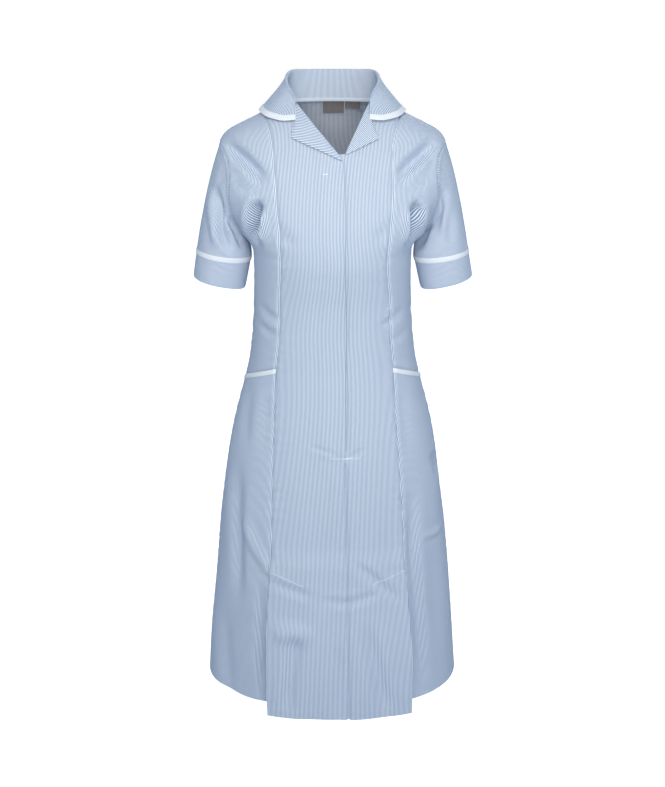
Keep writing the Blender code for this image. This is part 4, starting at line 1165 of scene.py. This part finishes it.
def collar_walls():
    """The collar up to its binding, and the binding along the outer edge."""
    body, trim = [], []
    for neck, roll, edge in zip(*collar_lines(COLLAR_COLUMNS)):
        fixed, fall = collar_profile(neck, roll, edge)
        fall = kept_off(fall, COLLAR_CLEARANCE)
        length = np.concatenate([[0], np.cumsum(np.linalg.norm(np.diff(fall, axis=0), axis=1))])
        cut = length[-1] - COLLAR_TRIM

        def at(distance):
            return np.stack([np.interp(distance, length, fall[:, k]) for k in range(3)], axis=1)

        body.append(np.vstack([fixed, at(np.linspace(0, cut + COLLAR_TRIM / 2, FALL_COLUMNS))]))
        trim.append(at(cut + ACROSS_BINDING * COLLAR_TRIM))
    body, trim = np.array(body), np.array(trim)
    wave = COLLAR_WAVE * np.sin(np.linspace(0, 9.5, len(body)) + 0.7)[:, None]
    lift = np.zeros(body.shape[:2])
    lift[:, -FALL_COLUMNS:] = wave * np.linspace(0, 1, FALL_COLUMNS) ** 1.5
    body = body + grid_normals(body) * lift[..., None]
    trim_lift = binding_profile(ACROSS_BINDING) - COLLAR_TRIM_SUNK + wave
    trim = trim + grid_normals(trim) * trim_lift[..., None]
    return layer(body, walked_uv(body)), layer(trim, walked_uv(trim), thickness=COLLAR_TRIM_THICKNESS)


def walked_uv(grid):
    """A flat pattern from distances walked over the grid: u along the rows' order, v across."""
    middle = grid[:, grid.shape[1] // 2]
    u = np.concatenate([[0], np.cumsum(np.linalg.norm(np.diff(middle, axis=0), axis=1))])
    steps = np.linalg.norm(np.diff(grid, axis=1), axis=2)
    v = np.hstack([np.zeros((len(grid), 1)), np.cumsum(steps, axis=1)])
    return np.stack([np.broadcast_to(u[:, None], v.shape), v], axis=2)


LapelShape = namedtuple("LapelShape", "foot_x foot_z top_x corner_x corner_z notch_x notch_z")
RIGHT_LAPEL = LapelShape(LAP_EDGE_X, V_RIGHT_Z, -ROLL_TOP_X, -0.0650, -0.0520, -0.0575, -0.0240)
LEFT_LAPEL = LapelShape(LAP_EDGE_X + 0.004, V_LEFT_Z, ROLL_TOP_X, 0.0728, -0.0535, 0.0575, -0.0240)
LAPEL_CORNER_SHARE = 0.62
LAPEL_ROLL = 0.0019
LAPEL_EDGE_HEIGHT = 0.0034
LAPEL_CROWN = 0.0022  # the lapel bulges this much between its roll and its edge
LAPEL_CROWN_SPAN = 0.03  # and less where it is narrower than this
LAPEL_NARROWEST = 0.0006
LAPEL_ROWS = 48


def lapel(shape, lap):
    """A lapel: the front's edge rolled outwards and laid on the front."""
    bend = np.linspace(0, math.pi, 9)
    rest = np.linspace(0, 1, 22)[1:] ** 1.1
    roll = np.array([shape.top_x - shape.foot_x, NECK_Z - shape.foot_z])
    roll = roll / np.linalg.norm(roll)
    knots = (0, LAPEL_CORNER_SHARE, 1)
    grid, flat = [], []
    for t in np.linspace(0.004, 0.985, LAPEL_ROWS):
        z_roll = shape.foot_z + (NECK_Z - shape.foot_z) * t
        x_roll = shape.foot_x + (shape.top_x - shape.foot_x) * t
        x_out = np.interp(t, knots, (shape.foot_x, shape.corner_x, shape.notch_x))
        z_out = np.interp(t, knots, (shape.foot_z, shape.corner_z, shape.notch_z))
        span = max(math.hypot(x_out - x_roll, z_out - z_roll), LAPEL_NARROWEST)
        radius = min(LAPEL_ROLL, span)
        reach = np.concatenate([-radius * np.sin(bend), rest * span])
        high = 2 * radius + (min(LAPEL_EDGE_HEIGHT, 2 * radius) - 2 * radius) * smooth(rest)
        high = high + LAPEL_CROWN * np.sin(math.pi * rest) * min(1, span / LAPEL_CROWN_SPAN)
        height = np.concatenate([radius * (1 - np.cos(bend)), high])
        x = x_roll + (x_out - x_roll) * reach / span
        z = z_roll + (z_out - z_roll) * reach / span
        s = front_s(x, z) - eased(FORM, "turn", z)
        points, normals = place(s, z)
        grid.append(points + normals * (height + lap * lap_lift(z) - sunk(points))[:, None])
        along = (x - shape.foot_x) * roll[0] + (z - shape.foot_z) * roll[1]
        mirrored_x = 2 * along * roll[0] - (x - shape.foot_x)
        mirrored_z = 2 * along * roll[1] - (z - shape.foot_z)
        flat.append(np.stack([mirrored_x, mirrored_z], axis=1))
    grid, flat = np.array(grid), np.array(flat)
    if shape.top_x < 0:
        grid, flat = grid[:, ::-1], flat[:, ::-1]
    return layer(grid, flat)


# ---- labels and other small pieces


def on_back(x, z):
    """Points and outward normals of the form's back at distances x from its middle, at height z."""
    z = np.full(len(x), z)
    s = behind_s(np.abs(x), z)
    s = np.where(x < 0, 2 * back_s(z) - s, s)
    return place(s - eased(FORM, "turn", z), z)


LABEL_TOP_Z = NECK_Z - 0.001
LABEL_INSIDE = 0.0009  # how far inside the cloth a label hangs
LABEL_CURL = 0.0010  # and how much farther at its lower edge
LABEL_THICKNESS = 0.0006


def label(x_left, width, height):
    """A bare tape sewn inside the back neck."""
    z = np.linspace(LABEL_TOP_Z - height, LABEL_TOP_Z, 8)
    x = np.linspace(x_left, x_left + width, 14)
    grid = []
    for level in z:
        points, normals = on_back(x, level)
        curl = LABEL_CURL * ((LABEL_TOP_Z - level) / height) ** 2
        grid.append(points - normals * (sunk(points) + SHELL + LABEL_INSIDE + curl)[:, None])
    return layer(np.array(grid), np.stack(np.meshgrid(x, z), axis=2), thickness=LABEL_THICKNESS)


NECK_STRIP_HALF = 0.0026  # half its width
NECK_STRIP_THICKNESS = 0.0008
NECK_STRIP_INSIDE = 0.0016
NECK_STRIP_CURVE = 0.0009
NECK_STRIP_SKIPS = 26  # columns of the collar at each end that have no strip


def neck_binding():
    """The light strip that covers the back neck seam, inside."""
    rows = []
    neck, roll, _ = collar_lines(COLLAR_COLUMNS)
    inner = slice(NECK_STRIP_SKIPS, COLLAR_COLUMNS - NECK_STRIP_SKIPS)
    neck, roll = neck[inner], roll[inner]
    up = unit(roll - neck)
    inward = unit(np.cross(up, np.gradient(neck, axis=0)))
    inward *= -np.sign((inward * neck * [1, 1, 0]).sum(1))[:, None]
    for share in np.linspace(-1, 1, 7):
        inside = NECK_STRIP_INSIDE - NECK_STRIP_CURVE * share**2
        rows.append(neck + up * NECK_STRIP_HALF * share + inward * inside)
    grid = np.array(rows)
    uv = walked_uv(grid.transpose(1, 0, 2)).transpose(1, 0, 2)
    return layer(grid, uv, thickness=NECK_STRIP_THICKNESS)


Threads = namedtuple("Threads", "head tail normal")


def stitch_row(points, normals):
    """Where each stitch of a row starts and ends, along a line on the cloth's surface."""
    walked = np.concatenate([[0], np.cumsum(np.linalg.norm(np.diff(points, axis=0), axis=1))])
    starts = np.arange(STITCH_PITCH / 2, walked[-1] - STITCH_LENGTH, STITCH_PITCH)

    def on_line(distance, values):
        return np.stack([np.interp(distance, walked, values[:, k]) for k in range(3)], axis=1)

    ends = starts + STITCH_LENGTH
    return Threads(on_line(starts, points), on_line(ends, points), on_line(starts, normals))


STITCH_FACES = [(0, 2, 4), (0, 4, 3), (0, 3, 5), (0, 5, 2), (1, 4, 2), (1, 3, 4), (1, 5, 3), (1, 2, 5)]


def stitches(name, rows, material, radius=STITCH_RADIUS):
    """Rows of stitches as one mesh, each stitch a small spindle half sunk in the cloth."""
    head, tail, normal = (np.concatenate(part) for part in zip(*rows))
    normal = unit(normal)
    side = np.cross(tail - head, normal)
    side *= radius / np.linalg.norm(side, axis=1, keepdims=True)
    middle = (head + tail) / 2
    sunk_ends = normal * radius * STITCH_SINK
    corners = [head - sunk_ends, tail - sunk_ends, middle + side, middle - side]
    corners += [middle + normal * radius, middle - normal * radius]
    faces = 6 * np.arange(len(head))[:, None, None] + np.array(STITCH_FACES)
    points = np.stack(corners, axis=1).reshape(-1, 3)
    return mesh_piece(name, points, faces.reshape(-1, 3), None, material)


# ---- materials


class Nodes:
    """A small helper that adds and joins shader nodes."""

    def __init__(self, name, roughness, sheen):
        self.material = bpy.data.materials.new(name)
        self.material.use_nodes = True
        self.tree = self.material.node_tree
        self.shader = self.tree.nodes["Principled BSDF"]
        self.shader.inputs["Roughness"].default_value = roughness
        self.shader.inputs["Specular IOR Level"].default_value = 0.25
        self.shader.inputs["Sheen Weight"].default_value = sheen
        self.shader.inputs["Sheen Roughness"].default_value = 0.6
        self.shader.inputs["Sheen Tint"].default_value = (0.85, 0.92, 1.0, 1.0)

    def add(self, kind, **values):
        node = self.tree.nodes.new(kind)
        for key, value in values.items():
            setattr(node, key, value)
        return node

    def join(self, source, target):
        self.tree.links.new(source, target)

    def math(self, operation, *inputs):
        node = self.add("ShaderNodeMath", operation=operation)
        for socket, value in zip(node.inputs, inputs):
            if isinstance(value, (int, float)):
                socket.default_value = value
            else:
                self.join(value, socket)
        return node.outputs[0]

    def noise(self, vector, scale, detail=2.0):
        node = self.add("ShaderNodeTexNoise")
        node.inputs["Scale"].default_value = scale
        node.inputs["Detail"].default_value = detail
        self.join(vector, node.inputs["Vector"])
        return node.outputs["Fac"]

    def mix(self, factor, first, second):
        node = self.add("ShaderNodeMix", data_type="RGBA")
        self.join(factor, node.inputs["Factor"])
        for socket, value in (("A", first), ("B", second)):
            target = next(s for s in node.inputs if s.name == socket and s.type == "RGBA")
            if isinstance(value, tuple):
                target.default_value = value
            else:
                self.join(value, target)
        return next(s for s in node.outputs if s.type == "RGBA")

    def coordinates(self):
        """The flat pattern, its u and v, and the place on the object."""
        pattern = self.add("ShaderNodeUVMap", uv_map="pattern").outputs["UV"]
        split = self.add("ShaderNodeSeparateXYZ")
        self.join(pattern, split.inputs[0])
        on_object = self.add("ShaderNodeTexCoord").outputs["Object"]
        return pattern, split.outputs["X"], split.outputs["Y"], on_object

    def set_input(self, name, source):
        self.join(source, self.shader.inputs[name])

    def wave(self, value, turn):
        return self.math("SINE", self.math("MULTIPLY", value, turn))

    def bump(self, height, distance, strength, normal=None):
        node = self.add("ShaderNodeBump")
        node.inputs["Distance"].default_value = distance
        node.inputs["Strength"].default_value = strength
        self.join(height, node.inputs["Height"])
        if normal is not None:
            self.join(normal, node.inputs["Normal"])
        return node.outputs["Normal"]


def weave_height(nodes, u, v, thread):
    """A plain weave: threads over and under each other, thread apart."""
    turn = math.pi / thread
    return nodes.math("MULTIPLY", nodes.wave(u, turn), nodes.wave(v, turn))


STRIPE_LIGHT = (0.890, 0.915, 0.945, 1.0)
STRIPE_DARK = (0.165, 0.290, 0.505, 1.0)
STRIPE_SHADE = (0.30, 0.40, 0.62, 1.0)
STRIPE_EDGE = 0.30  # half the soft edge between the stripes, as a share of the wave's height
STRIPE_WANDER = 0.0004  # how far a stripe strays, in metres
WEAVE_HEIGHT = 0.00010


def striped_cloth(name):
    nodes = Nodes(name, 0.82, 0.10)
    pattern, u, v, place_of = nodes.coordinates()
    stray = nodes.math("SUBTRACT", nodes.noise(place_of, 22.0), 0.5)
    wandered = nodes.math("ADD", u, nodes.math("MULTIPLY", stray, STRIPE_WANDER))
    stripe = nodes.add("ShaderNodeMapRange", interpolation_type="SMOOTHSTEP")
    for socket, value in zip(stripe.inputs[1:5], (-STRIPE_EDGE, STRIPE_EDGE, 0.0, 1.0)):
        socket.default_value = value
    nodes.join(nodes.wave(wandered, 2 * math.pi / STRIPE_PERIOD), stripe.inputs[0])
    colour = nodes.mix(stripe.outputs[0], STRIPE_LIGHT, STRIPE_DARK)
    # yarns: short streaks along the warp, and slow changes of shade over the cloth
    stretch = nodes.add("ShaderNodeMapping")
    stretch.inputs["Scale"].default_value = (1.0, 0.12, 1.0)
    nodes.join(pattern, stretch.inputs["Vector"])
    streaks = nodes.noise(stretch.outputs[0], 900.0, 3.0)
    shade = nodes.noise(place_of, 6.0, 3.0)
    streaks, shade = nodes.math("MULTIPLY", streaks, 0.16), nodes.math("MULTIPLY", shade, 0.10)
    darker = nodes.math("SUBTRACT", nodes.math("ADD", streaks, shade), 0.06)
    nodes.set_input("Base Color", nodes.mix(darker, colour, STRIPE_SHADE))
    crumple = nodes.bump(nodes.noise(place_of, 75.0, 4.0), 0.0012, 0.35)
    weave = weave_height(nodes, u, v, THREAD)
    nodes.set_input("Normal", nodes.bump(weave, WEAVE_HEIGHT, 0.5, crumple))
    return nodes.material


def plain_cloth(name, colour, shade_colour, thread, ribs=False):
    nodes = Nodes(name, 0.75, 0.12)
    _, u, v, place_of = nodes.coordinates()
    patches = nodes.noise(place_of, 120.0, 3.0)
    nodes.set_input("Base Color", nodes.mix(patches, colour, shade_colour))
    height = nodes.wave(v, math.pi / thread) if ribs else weave_height(nodes, u, v, thread)
    soft = nodes.bump(nodes.noise(place_of, 160.0, 3.0), 0.0008, 0.35)
    nodes.set_input("Normal", nodes.bump(height, WEAVE_HEIGHT, 0.6, soft))
    return nodes.material


def thread_material(name, colour):
    nodes = Nodes(name, 0.55, 0.05)
    place_of = nodes.add("ShaderNodeTexCoord").outputs["Object"]
    lighter = tuple(min(1.0, c * 1.12) for c in colour[:3]) + (1.0,)
    nodes.set_input("Base Color", nodes.mix(nodes.noise(place_of, 700.0), colour, lighter))
    return nodes.material


# ---- the dress

stripe = striped_cloth("striped_cotton")
white = plain_cloth("white_binding", (0.90, 0.93, 0.97, 1.0), (0.80, 0.85, 0.92, 1.0), 0.0005)
grey = plain_cloth("label_tape", (0.27, 0.26, 0.27, 1.0), (0.20, 0.19, 0.20, 1.0), 0.0006, ribs=True)
muted = plain_cloth("neck_strip", (0.66, 0.73, 0.83, 1.0), (0.58, 0.66, 0.78, 1.0), 0.0005)
pale_thread = thread_material("pale_thread", (0.62, 0.69, 0.82, 1.0))
white_thread = thread_material("white_thread", (0.90, 0.92, 0.95, 1.0))


def both_sides(name, make, material, ring=False):
    replaced(name + "_left", make(1), material, ring)
    replaced(name + "_right", make(-1), material, ring)


replaced("front_right", right_front(), stripe)
replaced("front_left", left_front(), stripe)
both_sides("pleat", pleat, stripe)
both_sides("side_front", side_front, stripe)
both_sides("pocket_front", pocket, stripe)
both_sides("pocket_trim", pocket_trim, white)
both_sides("side_back", side_back, stripe)
replaced("back", centre_back(), stripe)
both_sides("sleeve", sleeve, stripe, ring=True)
both_sides("cuff_trim", cuff_trim, white, ring=True)
both_sides("cuff", cuff, stripe, ring=True)
collar_body, collar_binding = collar_walls()
replaced("collar", collar_body, stripe)
replaced("collar_trim", collar_binding, white)
replaced("lapel_right", lapel(RIGHT_LAPEL, 1), stripe)
replaced("lapel_left", lapel(LEFT_LAPEL, 0), stripe)
replaced("neck_label", label(-0.0165, 0.036, 0.0205), grey)
replaced("size_label", label(0.0210, 0.026, 0.013), grey)
neck_strip = shell("neck_binding", neck_binding(), muted)


def body_line(s, z, lift=0.0):
    """A row of stitches on the body's cloth."""
    points, normals = place(s, z)
    return stitch_row(points + normals * (lift - sunk(points))[:, None], normals)


def front_lift(s, z):
    """How far the centre front's cloth stands off the folded form."""
    return pleat_lift(z) + lap_lift(z) * lap_ramp(s) * (s < LAP_EDGE_X)


def front_line(s, z, lift=0.0):
    """A row of stitches on the centre front, over the lap."""
    return body_line(s, z, lift + front_lift(s, z))


def line_between(start, end, count=60):
    t = np.linspace(0, 1, count)
    return start[0] + (end[0] - start[0]) * t, start[1] + (end[1] - start[1]) * t


BESIDE_SEAM = 0.0036
SEAM_CLEAR = 0.004  # a row of stitches stops this far short of a seam that it meets
ARMHOLE_STITCHES = (0.0022, 0.0068)


def seam_rows():
    """Stitches beside the long seams and in two rows round each armhole."""
    rows = []
    z_front = np.arange(MOUTH_FRONT_Z, PRINCESS_TOP_Z - SEAM_CLEAR, CELL)
    z_back = np.arange(SIDE_HEM_Z + CELL, PRINCESS_TOP_Z - SEAM_CLEAR, CELL)
    z_centre = np.arange(HEM_Z + CELL, PLACKET_END_Z - 0.008, CELL)
    rows.append(front_line(right_front_edge(z_centre) - BESIDE_SEAM, z_centre, STITCH_RADIUS))
    for side in (1, -1):
        rows.append(body_line(side * (princess_front(z_front) + BESIDE_SEAM), z_front))
        rows.append(body_line(side * (princess_back(z_back) + BESIDE_SEAM), z_back))
        for off in ARMHOLE_STITCHES:
            turns = np.append(SLEEVE_TURNS, SLEEVE_TURNS[:1])
            ring, _, normals = armhole_ring(turns, side, off, sink=False)
            mirror = np.array([side, 1, 1])
            rows.append(stitch_row(ring[1:-1] * mirror, normals[1:-1] * mirror))
    return rows


def hem_rows():
    rows = []
    for side in (1, -1):
        level = np.array([SIDE_HEM_Z + HEM_TURN])
        ends = princess_front(level)[0] + SEAM_CLEAR, princess_back(level)[0] - SEAM_CLEAR
        s = np.linspace(*ends, 120)
        rows.append(body_line(side * s, raised_hem(level, s[None])[0]))
    s = np.linspace(princess_back(level)[0], 2 * back_s(level)[0] - princess_back(level)[0], 90)
    rows.append(body_line(s, np.full(len(s), level[0])))
    edge = princess_front(np.array([HEM_Z + HEM_TURN]))[0] - SEAM_CLEAR
    s = np.linspace(-edge, edge, 90)
    rows.append(front_line(s, np.full(len(s), HEM_Z + HEM_TURN)))
    return rows


PLEAT_STITCH_DROP = 0.022
PLEAT_STITCH_RUN = 0.058
PLEAT_STITCH_GAP = 0.0012
ZIP_END_ROWS = (-0.5700, -0.5712)


def pleat_head_rows():
    """The slanted rows that hold the pleats' tops, and the rows across the zip's end."""
    rows = []
    for side in (1, -1):
        z = PLEAT_TOP_Z - 0.005
        outer = princess_front(np.array([z]))[0] - 0.002
        for gap in (0.0, PLEAT_STITCH_GAP):
            inner = (outer - PLEAT_STITCH_RUN, z - gap - PLEAT_STITCH_DROP)
            s, z_line = line_between((outer, z - gap), inner)
            rows.append(front_line(side * s, z_line, STITCH_RADIUS))
    for z in ZIP_END_ROWS:
        s, z_line = line_between((-0.009, z), (0.041, z))
        rows.append(front_line(s, z_line))
    return rows


CUFF_STITCH_SHARE = 0.93  # how far down the cuff its stitches run


def small_rows():
    """Stitches of the pockets, the collar and the cuffs."""
    rows = []
    share = np.linspace(0.02, 0.98, 40)
    for side in (1, -1):
        z = mouth_z(share) - TRIM - 0.0012
        left, right = princess_front(z), front_outer(z)
        rows.append(body_line(side * (left + (right - left) * share), z))
        for ring in cuff_grid(side, [CUFF_STITCH_SHARE], [0.0]):
            rows.append(stitch_row(ring, unit(ring - ring.mean(0))))
    outer = collar_body.outer
    normals = grid_normals(outer)
    column = outer.shape[1] - 8
    rows.append(stitch_row(outer[2:-2, column], normals[2:-2, column]))
    return rows


PATCH_ROWS = (-0.0345, -0.0115)
PATCH_HALF_WIDTH = 0.047


def patch_rows():
    """The stitch lines of the patch inside the back neck, seen through the neck opening."""
    rows = []
    for z in PATCH_ROWS:
        points, normals = on_back(np.linspace(-PATCH_HALF_WIDTH, PATCH_HALF_WIDTH, 50), z)
        rows.append(stitch_row(points - normals * (sunk(points) + SHELL)[:, None], -normals))
    return rows


WAIST_TACK_Z = -0.320
TACK_PITCH = 0.0006
TACK_RISE = 0.0003


def tack(name, start, end, width):
    """A bar tack on the centre front: close stitches across a short line of (s, z)."""
    count = max(6, int(math.dist(start, end) / TACK_PITCH))
    s, z = line_between(start, end, count)
    points, normals = place(s, z)
    points = points + normals * (front_lift(s, z) - sunk(points) + TACK_RISE)[:, None]
    across = unit(np.cross(points[-1] - points[0], normals)) * width / 2
    bars = Threads(points - across, points + across, normals)
    stitches(name, [bars], white_thread, THICK_STITCH)


stitches("seam_stitches", seam_rows(), pale_thread)
stitches("hem_stitches", hem_rows(), pale_thread)
stitches("pleat_stitches", pleat_head_rows(), white_thread, THICK_STITCH)
stitches("small_stitches", small_rows(), pale_thread)
stitches("patch_stitches", patch_rows(), pale_thread)
waist_s = float(princess_front(WAIST_TACK_Z)[0])
tack("chest_tack", (-0.0165, -0.1040), (-0.0095, -0.1036), 0.0024)
tack("waist_tack", (waist_s - 0.0060, WAIST_TACK_Z), (waist_s - 0.0012, WAIST_TACK_Z), 0.0016)
tack("zip_tack", (0.010, -0.5705), (0.025, -0.5705), 0.0022)

# ---- the fields that describe a sheet's cut

# width and length are those of the cut that shows; share is the part of that rectangle it fills
Cut = namedtuple("Cut", "piece width length share held hangs_from")


# ---- studio

LOOK_AT = (0.0, 0.0, -0.50)
CAMERA_PITCH = math.radians(19)
CAMERA_DISTANCE = 1.95
CAMERA_LENS = 50.8
FLOOR_Z = -1.30


def add_camera():
    data = bpy.data.cameras.new("camera")
    data.lens = CAMERA_LENS
    data.sensor_width = 36
    camera = bpy.data.objects.new("camera", data)
    STUDIO.objects.link(camera)
    camera.location = (
        LOOK_AT[0],
        LOOK_AT[1] - CAMERA_DISTANCE * math.cos(CAMERA_PITCH),
        LOOK_AT[2] + CAMERA_DISTANCE * math.sin(CAMERA_PITCH),
    )
    camera.rotation_euler = (math.pi / 2 - CAMERA_PITCH, 0, 0)
    bpy.context.scene.camera = camera


def add_floor():
    mesh = bpy.data.meshes.new("floor")
    far = 14.0
    around = ((-far, -far), (far, -far), (far, far), (-far, far))
    mesh.from_pydata([(x, y, FLOOR_Z) for x, y in around], [], [(0, 1, 2, 3)])
    material = bpy.data.materials.new("pale_floor")
    material.use_nodes = True
    inputs = material.node_tree.nodes["Principled BSDF"].inputs
    inputs["Base Color"].default_value = (0.93, 0.94, 0.95, 1.0)
    inputs["Roughness"].default_value = 0.9
    inputs["Specular IOR Level"].default_value = 0.1
    inputs["Emission Color"].default_value = (1.0, 1.0, 1.0, 1.0)
    inputs["Emission Strength"].default_value = 0.85
    mesh.materials.append(material)
    floor = bpy.data.objects.new("floor", mesh)
    floor.visible_diffuse = False
    floor.visible_glossy = False
    STUDIO.objects.link(floor)


Lamp = namedtuple("Lamp", "name place aim size power colour")
LAMPS = [
    Lamp("key", (-0.12, -1.80, 1.25), (0.0, 0.0, -0.25), 0.8, 17, (1.0, 0.915, 0.77)),
    Lamp("front_fill", (0.06, -1.50, 0.10), (0.0, 0.0, -0.20), 0.6, 8.8, (1.0, 0.93, 0.82)),
    Lamp("side_fill", (1.10, -2.40, -0.10), (0.0, 0.0, -0.40), 1.2, 8, (0.94, 0.97, 1.0)),
    Lamp("behind", (0.4, 2.6, 1.0), (0.0, 0.0, -0.40), 1.6, 26, (0.97, 0.98, 1.0)),
]


def add_lamps():
    for lamp in LAMPS:
        data = bpy.data.lights.new(lamp.name, "AREA")
        data.shape = "DISK"
        data.size = lamp.size
        data.energy = lamp.power
        data.color = lamp.colour
        light = bpy.data.objects.new(lamp.name, data)
        light.visible_camera = False
        STUDIO.objects.link(light)
        light.location = lamp.place
        way = np.array(lamp.aim) - np.array(lamp.place)
        pitch = math.atan2(math.hypot(way[0], way[1]), -way[2])
        light.rotation_euler = (pitch, 0, math.atan2(-way[0], way[1]))


def add_world():
    world = bpy.data.worlds.new("studio")
    bpy.context.scene.world = world
    world.use_nodes = True
    nodes, links = world.node_tree.nodes, world.node_tree.links
    background = nodes["Background"]
    background.inputs["Color"].default_value = (0.66, 0.81, 1.0, 1.0)
    background.inputs["Strength"].default_value = 0.52
    white_back = nodes.new("ShaderNodeBackground")
    white_back.inputs["Color"].default_value = (1.0, 1.0, 1.0, 1.0)
    white_back.inputs["Strength"].default_value = 1.0
    seen = nodes.new("ShaderNodeLightPath")
    blend = nodes.new("ShaderNodeMixShader")
    links.new(seen.outputs["Is Camera Ray"], blend.inputs[0])
    links.new(background.outputs[0], blend.inputs[1])
    links.new(white_back.outputs[0], blend.inputs[2])
    links.new(blend.outputs[0], nodes["World Output"].inputs["Surface"])


add_camera()
add_floor()
add_lamps()
add_world()
bpy.context.scene.view_settings.view_transform = "Standard"
